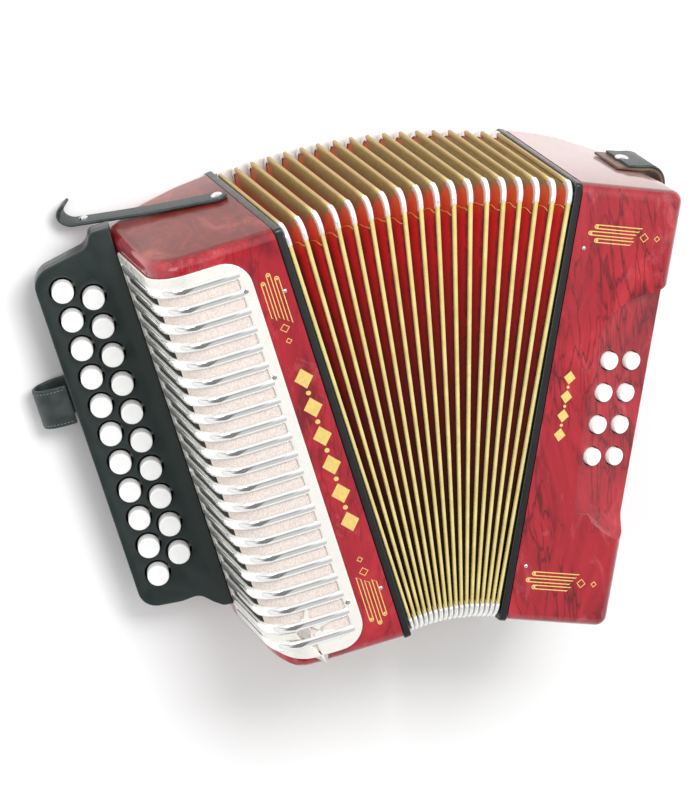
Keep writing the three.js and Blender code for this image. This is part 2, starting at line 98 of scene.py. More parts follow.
def casing_frame(mount, mount_x, lean):
    turn = Matrix.Rotation(lean, 4, "Z")
    return Matrix.Translation(mount - turn @ Vector((mount_x, MID_Y, 0))) @ turn


TREBLE = casing_frame(mounts["treble_back"], -10, LEAN)
BASS = casing_frame(mounts["bass_back"], 10, -LEAN)
MIDDLE = Matrix.Translation((TREBLE.translation + BASS.translation) / 2)
FOOT = (BASS.translation - TREBLE.translation).length
HALF_FOOT = FOOT / 2 - END_PLANE / math.cos(LEAN)
CENTRE_Y = -HALF_FOOT / math.tan(LEAN)
R_BOTTOM = HALF_FOOT / math.sin(LEAN) + END_PLANE * math.tan(LEAN)
PITCH = FAN / (RIDGES - 1)
BOARD_FRAME = TREBLE @ Matrix.Translation((BOARD["x"], 0, BOARD["z"]))
BOARD_FRAME = BOARD_FRAME @ Matrix.Rotation(-BOARD["tilt"], 4, "Y")
PANEL_FRAME = BASS @ Matrix.Translation((PANEL["x"], 0, DEPTH)) @ Matrix.Rotation(PANEL["tilt"], 4, "Y")


# ---------------------------------------------------------------- materials
class Nodes:
    """Short ways to add nodes to a tree."""

    def __init__(self, tree):
        self.tree = tree

    def feed(self, socket, value):
        """Links an output to a socket, or sets the socket's own value."""
        if isinstance(value, bpy.types.NodeSocket):
            self.tree.links.new(value, socket)
        else:
            socket.default_value = value

    def add(self, kind, **inputs):
        node = self.tree.nodes.new("ShaderNode" + kind)
        for socket, value in inputs.items():
            self.feed(node.inputs[socket.replace("_", " ")], value)
        return node

    def ramp(self, value, *stops):
        node = self.add("ValToRGB", Fac=value)
        elements = node.color_ramp.elements
        while len(elements) < len(stops):
            elements.new(1.0)
        for element, (position, tone) in zip(elements, stops):
            element.position = position
            element.color = (*tone, 1) if isinstance(tone, tuple) else (tone, tone, tone, 1)
        return node.outputs["Color"]

    def math(self, operation, a, b=0.0):
        node = self.add("Math")
        node.operation = operation
        self.feed(node.inputs[0], a)
        self.feed(node.inputs[1], b)
        return node.outputs["Value"]

    def mix(self, factor, a, b, blend="MIX"):
        node = self.add("Mix")
        node.data_type = "RGBA"
        node.blend_type = blend
        for index, value in ((0, factor), (6, a), (7, b)):
            self.feed(node.inputs[index], (*value, 1) if isinstance(value, tuple) else value)
        return node.outputs[2]


class Look(Nodes):
    """A material and its nodes."""

    def __init__(self, name):
        self.material = bpy.data.materials.new(name)
        self.material.use_nodes = True
        super().__init__(self.material.node_tree)
        self.shader = self.tree.nodes["Principled BSDF"]
        self.place = self.add("TexCoord").outputs["Object"]

    def set(self, **values):
        for socket, value in values.items():
            self.feed(self.shader.inputs[socket.replace("_", " ")], value)
        return self.material

    def stretched(self, x, y, z, turn):
        """Object coordinates, turned and then scaled."""
        mapping = self.add("Mapping", Vector=self.place, Scale=(x, y, z), Rotation=(0, 0, turn))
        return mapping.outputs["Vector"]

    def noise(self, scale, detail=3.0, rough=0.5, distort=0.0, vector=None):
        inputs = {"Scale": scale, "Detail": detail, "Roughness": rough, "Distortion": distort}
        return self.add("TexNoise", Vector=vector or self.place, **inputs).outputs["Fac"]

    def specks(self, scale):
        return self.add("TexVoronoi", Vector=self.place, Scale=scale).outputs["Distance"]

    def bump(self, height, strength, distance):
        node = self.add("Bump", Height=height, Strength=strength, Distance=distance)
        self.set(Normal=node.outputs["Normal"])

    def attribute(self, name):
        node = self.add("Attribute")
        node.attribute_name = name
        return node.outputs["Fac"]


def pearl(name, turn, end_coat, crack):
    """Red pearl celluloid: drifting clouds, cracks along the grain as dark as crack says; browner ends, turned
    pale at grazing angles by a painted sheen.
    """
    look = Look(name)
    along = look.stretched(1.0, 0.42, 1.0, turn)
    base = look.ramp(
        look.noise(26, 5, 0.62, 1.6, along),
        (0.28, (0.16, 0.004, 0.012)),
        (0.45, (0.33, 0.009, 0.020)),
        (0.60, (0.41, 0.014, 0.027)),
        (0.78, (0.56, 0.040, 0.055)),
    )
    grain = look.stretched(1.0, 0.17, 1.0, turn)
    wander = look.add("TexNoise", Vector=grain, Scale=90.0, Detail=3.0).outputs["Color"]
    bent = look.add("MixRGB", Fac=0.018, Color1=grain, Color2=wander).outputs["Color"]
    cells = look.add("TexVoronoi", Vector=bent, Scale=150.0)
    cells.feature = "DISTANCE_TO_EDGE"
    edge = look.ramp(cells.outputs["Distance"], (0.0, crack), (0.035, 0.5 + crack / 2), (0.10, 1.0))
    patches = look.ramp(look.noise(38, 3, 0.5, 0.6, along), (0.49, 1.0), (0.60, 0.0))
    veined = look.mix(patches, base, look.mix(1.0, base, edge, "MULTIPLY"))
    milky = look.ramp(look.noise(44, 5, 0.7, 1.4, along), (0.56, 0.0), (0.80, 0.55))
    front = look.mix(milky, veined, (0.72, 0.17, 0.19))
    streaks = look.ramp(
        look.noise(48, 5, 0.65, 1.2, look.stretched(1.0, 1.0, 0.5, turn)),
        (0.30, (0.10, 0.008, 0.007)),
        (0.55, (0.20, 0.020, 0.015)),
        (0.70, (0.36, 0.070, 0.045)),
    )
    facing = look.add("VectorMath")
    facing.operation = "DOT_PRODUCT"
    look.feed(facing.inputs[0], look.add("NewGeometry").outputs["Normal"])
    look.feed(facing.inputs[1], (math.sin(turn), math.cos(turn), 0))
    on_end = look.ramp(look.math("ABSOLUTE", facing.outputs["Value"]), (0.72, 0.0), (0.97, 1.0))
    # Painted reflection: the end faces turn pale pinkish grey at grazing angles, a sheen put into the base colour.
    grazing = look.add("LayerWeight", Blend=0.5).outputs["Facing"]
    painted_sheen = look.math("MULTIPLY", look.ramp(grazing, (0.70, 0.0), (0.82, 0.62)), on_end)
    look.bump(look.noise(75, 3), 0.22, 0.0012)
    return look.set(
        Base_Color=look.mix(painted_sheen, look.mix(on_end, front, streaks), (0.60, 0.44, 0.40)),
        Coat_Weight=look.ramp(on_end, (0.0, 1.0), (1.0, end_coat)),
        Roughness=0.34,
        Coat_Roughness=0.05,
        Specular_IOR_Level=0.25,
    )


def leather(name, base, light):
    look = Look(name)
    wear = look.noise(60, 4, 0.6, 0.4)
    pores = look.math("ADD", look.specks(900.0), look.math("MULTIPLY", look.noise(240, 3), 0.6))
    look.bump(pores, 0.45, 0.0004)
    return look.set(
        Base_Color=look.mix(look.ramp(wear, (0.38, 0.0), (0.72, 1.0)), base, light),
        Roughness=look.ramp(wear, (0.3, 0.36), (0.8, 0.56)),
        Coat_Weight=0.15,
        Coat_Roughness=0.3,
    )


def plain(name, colour, rough, metal=0.0, coat=0.0, vary=0.12, scale=90, bump=0.05):
    """A moulded, painted or metal surface with slight cloudiness and fine unevenness."""
    look = Look(name)
    cloud = look.ramp(look.noise(scale, 4, 0.6), (0.3, 1 - vary), (0.7, 1.0))
    rubbed = look.ramp(look.noise(scale * 2.3, 3), (0.3, rough * 0.8), (0.7, min(rough * 1.25, 1.0)))
    look.bump(look.noise(scale * 5, 3), bump, 0.0003)
    tint = look.mix(1.0, colour, cloud, "MULTIPLY")
    return look.set(Base_Color=tint, Roughness=rubbed, Metallic=metal, Coat_Weight=coat, Coat_Roughness=0.08)


def wood(name, turn):
    look = Look(name)
    rings = look.noise(170, 5, 0.65, 0.6, look.stretched(1.0, 0.06, 1.0, turn))
    look.bump(rings, 0.25, 0.0004)
    grain = look.ramp(rings, (0.30, (0.36, 0.21, 0.10)), (0.68, (0.66, 0.46, 0.26)))
    return look.set(Base_Color=grain, Roughness=0.55)


def woven_cloth():
    """Grille cloth: pale threads with fine pink specks."""
    look = Look("grille_cloth")
    weave = look.stretched(1, 1, 1, LEAN)
    waves = [look.add("TexWave", Vector=weave, Scale=520.0, Distortion=0.6, Detail=1.0) for _ in range(2)]
    waves[1].bands_direction = "Y"
    threads = look.math("MAXIMUM", *(wave.outputs["Fac"] for wave in waves))
    flecks = look.noise(1250, 2, 0.7, vector=look.stretched(1, 0.55, 1, LEAN))
    flecks = look.math("MULTIPLY", look.ramp(flecks, (0.46, 0.0), (0.58, 1.0)), 0.42)
    ground = look.mix(threads, (0.72, 0.60, 0.54), (0.93, 0.88, 0.82))
    look.bump(threads, 0.6, 0.0004)
    tint = look.mix(flecks, ground, (0.62, 0.40, 0.36))
    return look.set(Base_Color=tint, Roughness=0.85, Sheen_Weight=0.2)


def bellows_cloth():
    """Cloth-covered card: olive near a ridge, red in the fold, orange at the corner gussets; painted shade darkens
    each fold's deepest part and the folds towards the bottom end, and the top end's folds carry their own painted
    light and shade.
    """
    look = Look("bellows_cloth")
    smudge = look.math("MULTIPLY", look.math("SUBTRACT", look.noise(140, 4, 0.65, 0.5), 0.5), 0.3)
    fold = look.math("ADD", look.attribute("fold_depth"), smudge)
    # The deep ends of both ramps are painted shade: each fold darkens into its valley.
    flank = look.ramp(
        fold,
        (0.03, (0.085, 0.060, 0.016)),
        (0.12, (0.052, 0.022, 0.010)),
        (0.20, (0.26, 0.012, 0.012)),
        (0.36, (0.88, 0.024, 0.028)),
        (0.60, (0.72, 0.014, 0.018)),
        (0.95, (0.15, 0.005, 0.007)),
    )
    # The top end's folds get their own tones: painted light and shade on the same cloth.
    top = look.ramp(
        fold,
        (0.03, (0.50, 0.38, 0.13)),
        (0.24, (0.30, 0.21, 0.065)),
        (0.40, (0.36, 0.12, 0.030)),
        (0.60, (0.66, 0.065, 0.016)),
        (0.95, (0.34, 0.018, 0.010)),
    )
    warm_tones = ((0.05, (0.36, 0.20, 0.035)), (0.30, (0.78, 0.11, 0.018)), (0.9, (0.70, 0.05, 0.013)))
    warm = look.ramp(fold, *warm_tones)
    sides = look.mix(look.attribute("end_wall"), flank, top)
    gusset = look.ramp(look.attribute("gusset"), (0.10, 0.0), (0.75, 1.0))
    # Painted shade: the folds darken towards the bottom end, where they are pressed together.
    shade = look.ramp(look.attribute("narrow"), (0.12, 1.0), (0.45, 0.48), (0.85, 0.12))
    look.bump(look.specks(1400.0), 0.5, 0.0003)
    tint = look.mix(1.0, look.mix(gusset, sides, warm), shade, "MULTIPLY")
    return look.set(Base_Color=tint, Roughness=0.75, Sheen_Weight=0.1, Specular_IOR_Level=0.3)


def tape_cloth():
    """The woven tape over each ridge: pale straw in patchy tones, darker on the top end towards the back."""
    look = Look("ridge_tape")
    dull = look.ramp(look.noise(75, 4, 0.6, 0.3), (0.35, (0.75, 0.63, 0.25)), (0.72, (0.60, 0.48, 0.17)))
    back_darkening = look.ramp(look.attribute("back_darkening"), (0.25, 0.0), (0.9, 1.0))
    look.bump(look.specks(1800.0), 0.45, 0.00025)
    tint = look.mix(back_darkening, dull, (0.46, 0.31, 0.10))
    return look.set(Base_Color=tint, Roughness=0.5, Coat_Weight=0.12, Coat_Roughness=0.3)


def guard_metal():
    """Nickelled corner guards, with small dark pin pricks and scuffs."""
    look = Look("corner_guard")
    pricks = look.ramp(look.specks(330.0), (0.07, 0.30), (0.12, 1.0))
    scuff = look.ramp(look.noise(420, 3, 0.6), (0.30, 0.72), (0.42, 1.0))
    marked = look.mix(1.0, (0.95, 0.945, 0.93), pricks, "MULTIPLY")
    return look.set(Base_Color=look.mix(1.0, marked, scuff, "MULTIPLY"), Metallic=0.45, Roughness=0.2)


PEARL_TREBLE = pearl("red_pearl_treble", -LEAN, 0.2, 0.58)
PEARL_BASS = pearl("red_pearl_bass", LEAN, 1.0, 0.30)
GRILLE = plain("grille_enamel", (0.90, 0.88, 0.82), 0.3, metal=0.2, coat=0.5, vary=0.03, bump=0.0)
RIB = plain("grille_ribs", (0.96, 0.955, 0.94), 0.07, metal=0.8, coat=0.3, vary=0.02, bump=0.0)
CLOTH = woven_cloth()
BLACK = plain("board_black", (0.020, 0.031, 0.029), 0.36, coat=0.2, vary=0.2, scale=40, bump=0.0)
LACQUER = plain("frame_lacquer", (0.006, 0.007, 0.008), 0.3, coat=0.2, vary=0.3, bump=0.03)
# Painted shade: a near-black sheet standing for the dark inside of the casing, seen through the grille's side
# slots.
SHADE = plain("painted_inside_shade", (0.018, 0.018, 0.018), 0.95, vary=0.3, bump=0.1)
LEATHER = leather("strap_leather", (0.017, 0.025, 0.025), (0.048, 0.064, 0.062))
HIDE = leather("strap_underside", (0.10, 0.045, 0.026), (0.19, 0.10, 0.06))
IVORY = plain("button_white", (0.96, 0.96, 0.945), 0.3, coat=0.15, vary=0.02, bump=0.0)
GOLD = plain("gold_inlay", (0.90, 0.66, 0.20), 0.36, metal=0.15, vary=0.2, scale=500, bump=0.1)
CHROME = plain("chrome", (0.82, 0.82, 0.84), 0.13, metal=1.0, vary=0.08, bump=0.03)
STEEL = plain("drawn_steel", (0.55, 0.55, 0.56), 0.3, metal=1.0, vary=0.2, scale=200)
ALLOY = plain("lever_alloy", (0.62, 0.62, 0.60), 0.38, metal=1.0, vary=0.2, scale=200)
THREAD = plain("stitch_thread", (0.20, 0.23, 0.22), 0.7, vary=0.3, scale=700, bump=0.3)
FELT = plain("pallet_felt", (0.36, 0.06, 0.05), 0.95, vary=0.4, scale=900, bump=0.6)
CARD = bellows_cloth()
TAPE = tape_cloth()
GUARD = guard_metal()
WOOD_TREBLE = wood("pale_wood_treble", -LEAN)
WOOD_BASS = wood("pale_wood_bass", LEAN)


# ---------------------------------------------------------------- mesh helpers
def placed(points, place):
    """Points carried from a drawing frame to the one that place stands in."""
    return np.asarray(points, float) @ np.array(place.to_3x3()).T + np.array(place.translation)


def level(outline, z):
    """An (x, y) outline at one height, or at a height for each point."""
    return np.column_stack((outline, np.full(len(outline), z)))


def upright(section, y):
    """An (x, z) section at one y, or at a y for each point."""
    return np.column_stack((section[:, 0], np.full(len(section), y), section[:, 1]))


def make(name, points, faces, place, materials, slots=None, crease=38):
    """A mesh object from millimetre points in a drawing frame."""
    mesh = bpy.data.meshes.new(name)
    mesh.from_pydata((placed(points, place) * MM).tolist(), [], [tuple(int(i) for i in f) for f in faces])
    for material in materials if isinstance(materials, (list, tuple)) else [materials]:
        mesh.materials.append(material)
    if slots is not None:
        mesh.polygons.foreach_set("material_index", slots)
    outward(mesh)
    smooth(mesh, crease)
    piece = bpy.data.objects.new(name, mesh)
    bpy.context.scene.collection.objects.link(piece)
    return piece


def outward(mesh):
    work = bmesh.new()
    work.from_mesh(mesh)
    bmesh.ops.recalc_face_normals(work, faces=work.faces)
    work.to_mesh(mesh)
    work.free()


def smooth(mesh, crease):
    mesh.polygons.foreach_set("use_smooth", [True] * len(mesh.polygons))
    mesh.set_sharp_from_angle(angle=math.radians(crease))


def loft(rings, caps=True, loop=False):
    """Points and faces of a skin over rings of equal counts; loop joins the last to the first."""
    rings = [np.asarray(ring, float) for ring in rings]
    count = len(rings[0])
    faces = []
    for j in range(len(rings) if loop else len(rings) - 1):
        a, b = j * count, ((j + 1) % len(rings)) * count
        for i in range(count):
            n = (i + 1) % count
            faces.append((a + i, a + n, b + n, b + i))
    if caps and not loop:
        last = (len(rings) - 1) * count
        faces.append(tuple(range(count - 1, -1, -1)))
        faces.append(tuple(range(last, last + count)))
    return np.vstack(rings), faces


def merged(*solids):
    """Several (points, faces) as one."""
    faces, base = [], 0
    for points, solid_faces in solids:
        faces += [tuple(i + base for i in f) for f in solid_faces]
        base += len(points)
    return np.vstack([points for points, _ in solids]), faces


def face_slots(slots, solids):
    """The material slot of every face of solids that are merged."""
    return np.repeat(slots, [len(faces) for _, faces in solids])


def fillet(corners, step=12):
    """Points of a closed outline whose corners (x, y, radius) are rounded."""
    points = []
    for i, (x, y, radius) in enumerate(corners):
        here = Vector((x, y))
        if radius <= 0:
            points.append(tuple(here))
            continue
        back = (Vector(corners[i - 1][:2]) - here).normalized()
        ahead = (Vector(corners[(i + 1) % len(corners)][:2]) - here).normalized()
        half = back.angle(ahead) / 2
        centre = here + (back + ahead).normalized() * (radius / math.sin(half))
        reach = radius / math.tan(half)
        first, last = here + back * reach - centre, here + ahead * reach - centre
        sweep = first.angle_signed(last)
        steps = max(2, round(abs(math.degrees(sweep)) / step))
        for k in range(steps + 1):
            turned = Matrix.Rotation(-sweep * k / steps, 2) @ first
            points.append(tuple(centre + turned))
    return np.array(points)


def arc(cx, cy, radius, start, end, steps):
    angles = np.radians(np.linspace(start, end, steps + 1))
    return np.column_stack((cx + radius * np.cos(angles), cy + radius * np.sin(angles)))


def spline(points, count):
    """A Catmull-Rom curve through points, resampled evenly."""
    p = np.asarray(points, float)
    p = np.vstack((2 * p[0] - p[1], p, 2 * p[-1] - p[-2]))
    dense = []
    for i in range(1, len(p) - 2):
        for t in np.linspace(0, 1, 24, endpoint=False):
            a, b, c, d = p[i - 1 : i + 3]
            bend = 2 * b + (c - a) * t + (2 * a - 5 * b + 4 * c - d) * t**2
            dense.append(0.5 * (bend + (3 * b - a - 3 * c + d) * t**3))
    dense.append(p[-2])
    return evenly(np.array(dense), count)


def evenly(points, count):
    lengths = np.r_[0, np.cumsum(np.linalg.norm(np.diff(points, axis=0), axis=1))]
    wanted = np.linspace(0, lengths[-1], count)
    return np.column_stack([np.interp(wanted, lengths, points[:, k]) for k in range(points.shape[1])])


def normals_2d(path):
    """Left-hand normals of an open 2-D path."""
    along = np.gradient(path, axis=0)
    along /= np.linalg.norm(along, axis=1)[:, None]
    return np.column_stack((-along[:, 1], along[:, 0]))


def inset(line, distance):
    """An open outline moved inwards (to its left), mitred; its ends stay on x = 0."""
    edges = np.diff(line, axis=0)
    edges /= np.linalg.norm(edges, axis=1)[:, None]
    left = np.column_stack((-edges[:, 1], edges[:, 0]))
    first, last = left[:1], left[-1:]
    before, after = np.vstack((first, left)), np.vstack((left, last))
    mitre = before + after
    mitre /= (mitre * before).sum(1)[:, None]
    moved = line + mitre * distance
    moved[0, 0] = moved[-1, 0] = 0
    return moved


def band(path, thick, low, high, edge=0.8, lean=upright):
    """A strap: its 2-D path, swept with a rounded rectangular section that spans low..high.

    lean is upright for a path in (x, z), or level for one in (x, y).
    """
    radius = min(edge, thick / 2 - 0.01)
    corners = [(low, -thick / 2), (high, -thick / 2), (high, thick / 2), (low, thick / 2)]
    section = fillet([(w, h, radius) for w, h in corners], 30)
    middle = (low + high) / 2
    taper = np.ones(len(path))
    taper[[0, -1]] = 0.82
    rings = []
    for point, normal, share in zip(path, normals_2d(path), taper):
        widths = middle + (section[:, 0] - middle) * (1 - (1 - share) * 0.1)
        rings.append(lean(point + normal * (section[:, 1] * share)[:, None], widths))
    return loft(rings)


def lathe(profile, sides=40):
    """A solid of revolution about z from (radius, z) points that start and end on the axis."""
    angles = np.linspace(0, 2 * math.pi, sides, endpoint=False)
    points, faces = [(0, 0, profile[0][1])], []
    for radius, z in profile[1:-1]:
        points += [(radius * math.cos(t), radius * math.sin(t), z) for t in angles]
    points.append((0, 0, profile[-1][1]))
    rings = len(profile) - 2
    for i in range(sides):
        n = (i + 1) % sides
        faces.append((0, 1 + n, 1 + i))
        for j in range(rings - 1):
            a, b = 1 + j * sides, 1 + (j + 1) * sides
            faces.append((a + i, a + n, b + n, b + i))
        last = 1 + (rings - 1) * sides
        faces.append((last + i, last + n, len(points) - 1))
    return np.array(points, float), faces


def rod(radius, low, high, sides):
    return lathe([(0, low), (radius, low), (radius, high), (0, high)], sides)


def disc_profile(radius, low, high, edge, dish=0.0):
    """A turned button: straight side, rounded top edge, slightly dished top."""
    turn = arc(radius - edge, high - edge, edge, 0, 90, 5)
    return [(0, low), (radius, low), *turn, (radius * 0.6, high - dish * 0.7), (0, high - dish)]


def moved(solid, place):
    points, faces = solid
    return placed(points, place), faces


def block(lo, hi, edge=0.5):
    """A box with rounded upright edges and chamfered rims."""
    (x0, y0, z0), (x1, y1, z1) = lo, hi
    outline = fillet([(x0, y0, edge), (x1, y0, edge), (x1, y1, edge), (x0, y1, edge)], 30)
    middle = outline.mean(0)
    size = np.array([x1 - x0, y1 - y0])
    rings = []
    for z, draw in ((z0, 0.7), (z0 + edge * 0.7, 0), (z1 - edge * 0.7, 0), (z1, 0.7)):
        rings.append(level(middle + (outline - middle) * (1 - 2 * draw * edge / size), z))
    return loft(rings)


def slab(name, outlines, z0, z1, edge, place, material, axes=None):
    """A plate from one outline and its holes, with rounded rims, by a filled 2-D curve."""
    curve = bpy.data.curves.new(name, "CURVE")
    curve.dimensions = "2D"
    curve.fill_mode = "BOTH"
    for outline in outlines:
        path = curve.splines.new("POLY")
        path.points.add(len(outline) - 1)
        for point, (x, y) in zip(path.points, outline):
            point.co = (x, y, 0, 1)
        path.use_cyclic_u = True
    curve.extrude = (z1 - z0) / 2 - edge
    curve.bevel_depth = edge
    curve.bevel_resolution = 3
    curve.offset = -edge
    holder = bpy.data.objects.new(name, curve)
    bpy.context.scene.collection.objects.link(holder)
    bpy.context.view_layer.update()
    drawn = bpy.data.meshes.new_from_object(holder.evaluated_get(bpy.context.evaluated_depsgraph_get()))
    points = np.array([v.co for v in drawn.vertices]) + (0, 0, (z0 + z1) / 2)
    faces = [tuple(p.vertices) for p in drawn.polygons]
    bpy.data.objects.remove(holder)
    if axes:
        points = points[:, axes]
    return weld(make(name, points, faces, place, material))


def weld(piece, distance=1e-6):
    work = bmesh.new()
    work.from_mesh(piece.data)
    bmesh.ops.remove_doubles(work, verts=work.verts, dist=distance)
    bmesh.ops.dissolve_degenerate(work, edges=work.edges, dist=distance)
    bmesh.ops.recalc_face_normals(work, faces=work.faces)
    work.to_mesh(piece.data)
    work.free()
    smooth(piece.data, 38)
    return piece


def cut(piece, *tools):
    """Takes the tools' solids away from the piece, for good."""
    for cutter in tools:
        modifier = piece.modifiers.new("cut", "BOOLEAN")
        modifier.operation = "DIFFERENCE"
        modifier.solver = "EXACT"
        modifier.object = cutter
    bpy.context.view_layer.update()
    done = bpy.data.meshes.new_from_object(piece.evaluated_get(bpy.context.evaluated_depsgraph_get()))
    piece.modifiers.clear()
    piece.data = done
    smooth(done, 32)
    for cutter in tools:
        bpy.data.objects.remove(cutter)
    return piece


def along_y(outline, y0, y1):
    """A prism whose section lies in (x, z)."""
    return loft([upright(np.asarray(outline, float), y) for y in (y0, y1)])


def tool(solid, place):
    return make("tool", *solid, place, IVORY)


def settle(piece, body, slot, *nodes):
    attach(piece, body)
    if nodes:
        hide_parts(*nodes)


def add(name, solid, place, material, body, slot, *nodes):
    """Makes a piece of one material and settles it on its body."""
    settle(make(name, *solid, place, material), body, slot, *nodes)


# ---------------------------------------------------------------- casings
def front_z(x):
    return DEPTH + SLOPE * x


def casing(name, line, place, material):
    """A closed skin over an open section line in (x, z), with rounded ends."""
    turns = [k / 6 * math.pi / 2 for k in range(7)]
    low_end = [(END_ROUND * (1 - math.sin(t)), END_ROUND * (1 - math.cos(t))) for t in turns]
    stations = low_end + [(draw, HEIGHT - y) for draw, y in reversed(low_end)]
    return make(name, *loft([upright(inset(line, draw), y) for draw, y in stations]), place, material)


def treble_line():
    shoulder = (SIDE_X, front_z(SIDE_X), FRONT_CORNER)
    return fillet([(0, DEPTH, 0), shoulder, (SIDE_X, 25, 10), (-48, 7, 25), (-22, 0, 25), (0, 0, 0)], 8)


def splay_rise(x):
    xs, ys = zip(*reversed(SPLAY))
    return float(np.interp(x, xs, ys))


def below_splay(lift):
    """What lies below the splayed end, raised by lift."""
    start, far = SPLAY[0][0], SPLAY[-1][0]
    outline = [(start, lift - 40), *((x, y + lift - 0.001) for x, y in SPLAY), (far, lift - 40)]
    return loft([level(outline, z) for z in (-20, DEPTH + 20)])


treble = casing("treble_body", treble_line(), TREBLE, PEARL_TREBLE)
TREBLE_ROOM = [(5, 6), (-20, 6), (-46, 13), (-69, 28), (-69, 96), (-52, 122), (5, 140)]
treble_room = tool(along_y(TREBLE_ROOM, WALL, HEIGHT - WALL), TREBLE)
cut(treble_room, tool(below_splay(WALL), TREBLE))
front_window = [(-31, 110), (-31, 160), (-55, 160), (-55, 110)]
side_window = [(-90, 62), (-60, 62), (-60, 96), (-90, 96)]
lever_window = [(-90, 28), (-64, 28), (-64, 46), (-90, 46)]
cut(
    treble,
    treble_room,
    tool(below_splay(0), TREBLE),
    tool(along_y(front_window, 22, 258), TREBLE),
    tool(along_y(side_window, 32, 258), TREBLE),
    tool(along_y(lever_window, 34, 264), TREBLE),
)
settle(treble, "treble_side", "red_pearl", "treble_casing")

bass_back = [(0, 0, 0), (22, 0, 20), (36, 9, 20), (52, 34, 30), (67, 116, 40)]
bass_line = fillet([*bass_back, (BASS_SIDE, DEPTH, 7.5), (0, DEPTH, 0)], 8)
bass = casing("bass_body", bass_line, BASS, PEARL_BASS)


def scoop():
    """The recess round the bass buttons: flat on the panel, its walls flared towards the front."""
    low, high = 72.5, 215
    across = np.r_[5, np.linspace(14, 38, 13), 46, 75]
    foot = [(x, low, 0) for x in across]
    crest = [(75, 216, 0), (56, 216, 0), (48, 215.8, 0), (44, 215.6, 0), (40, 215.3, 0), (36, high, 0)]
    outline = fillet([*foot, *crest, (1, high, 34.5), (1, 130, 60)], 5)
    share = np.sqrt(np.clip(1 - (np.maximum(38 - outline[:, 0], 0) / 24) ** 2, 0, 1))
    share = share * (outline[:, 1] < low + 1)
    top_flare = np.interp(outline[:, 0], [5, 30, 38, 44, 75], [0.1, 0.2, 0.5, 1.2, 1.7])
    top_flare = top_flare * (outline[:, 1] > 190)
    heights = (0, 0.8, 2, 3.5, 5.5, 8, 10.5, 13, 30)
    falls = (0, 1.9, 4.2, 6.6, 9.4, 12.3, 14.8, 17, 30)
    rings = []
    for height, fall in zip(heights, falls):
        ring = outline.copy()
        ring[:, 1] += height * top_flare - fall * share
        rings.append(level(ring, height))
    return loft(rings)


bass_buttons = [
    (f"bass_key_{side}_{row + 1}", x, PANEL_FIRST - row * PANEL_PITCH)
    for side, x in zip(("inner", "outer"), PANEL_COLUMNS)
    for row in range(4)
]
BASS_ROOM = [(-5, 6), (19, 6), (31, 13), (44, 36), (56, 110), (54, 120), (24, 134), (-5, 140)]
AIR_LEAN = math.atan2(67 - 52, 116 - 34)
AIR_FRAME = (
    BASS
    @ Matrix.Translation((52 + (108 - 34) * math.tan(AIR_LEAN), 205, 108))
    @ Matrix.Rotation(math.pi / 2 + AIR_LEAN, 4, "Y")
)
holes = [
    tool(moved(rod(6.3, -30, 12, 32), Matrix.Translation((x, y, 0))), PANEL_FRAME)
    for _, x, y in bass_buttons
]
air_hole = tool(rod(3.4, -14, 4, 24), AIR_FRAME)
cut(bass, tool(along_y(BASS_ROOM, WALL, HEIGHT - WALL), BASS), tool(scoop(), PANEL_FRAME), *holes, air_hole)
settle(bass, "bass_side", "red_pearl", "bass_casing")

# ---------------------------------------------------------------- grille
GRILLE_RIGHT, GRILLE_LOW = -20.6, 49
SHEET_LOW, SHEET_HIGH, SHEET_CORNER = 6.5, 270, 17
SLOT_RIGHT, SLOT_HALF, SLOT_TIGHT = -28, 3.7, 2.3  # slots narrow to the last on the casing's side
RIB_TOP, RIB_PITCH, RIB_COUNT = 260.4, 12.125, 21


def grille_line():
    """The path of the sheet over the front and down the side, as points and outward normals."""
    centre_x = SIDE_X + FRONT_CORNER
    centre_z = front_z(centre_x) - FRONT_CORNER * math.hypot(1, SLOPE)
    tilt = 90 + math.degrees(math.atan(SLOPE))
    bend = arc(centre_x, centre_z, FRONT_CORNER, tilt, 180, 18)
    start = np.array([(GRILLE_RIGHT, front_z(GRILLE_RIGHT))])
    path = np.vstack((start, bend, [(SIDE_X, GRILLE_LOW)]))
    return evenly(path, 121)


PATH = grille_line()
PATH_LENGTH = float(np.linalg.norm(np.diff(PATH, axis=0), axis=1).sum())
PATH_OUT = -normals_2d(PATH)


def wrapped(points):
    """Maps flat sheet points (along the path, y, lift) on to the casing."""
    points = np.asarray(points, float)
    share = np.clip(points[:, 0] / PATH_LENGTH, 0, 1) * (len(PATH) - 1)
    steps = np.arange(len(PATH))
    at, out = (np.column_stack([np.interp(share, steps, t[:, k]) for k in (0, 1)]) for t in (PATH, PATH_OUT))
    return upright(at + out * points[:, 2:3], points[:, 1])


def on_path(x):
    """Distance along the path of a place on the sloping front."""
    return (GRILLE_RIGHT - x) * math.hypot(1, SLOPE)


def low_edge(s):
    """Lowest y of the sheet at a distance along the path: it follows the splayed bottom end."""
    return SHEET_LOW + splay_rise(wrapped([[s, 0, 0]])[0, 0]) * 0.95


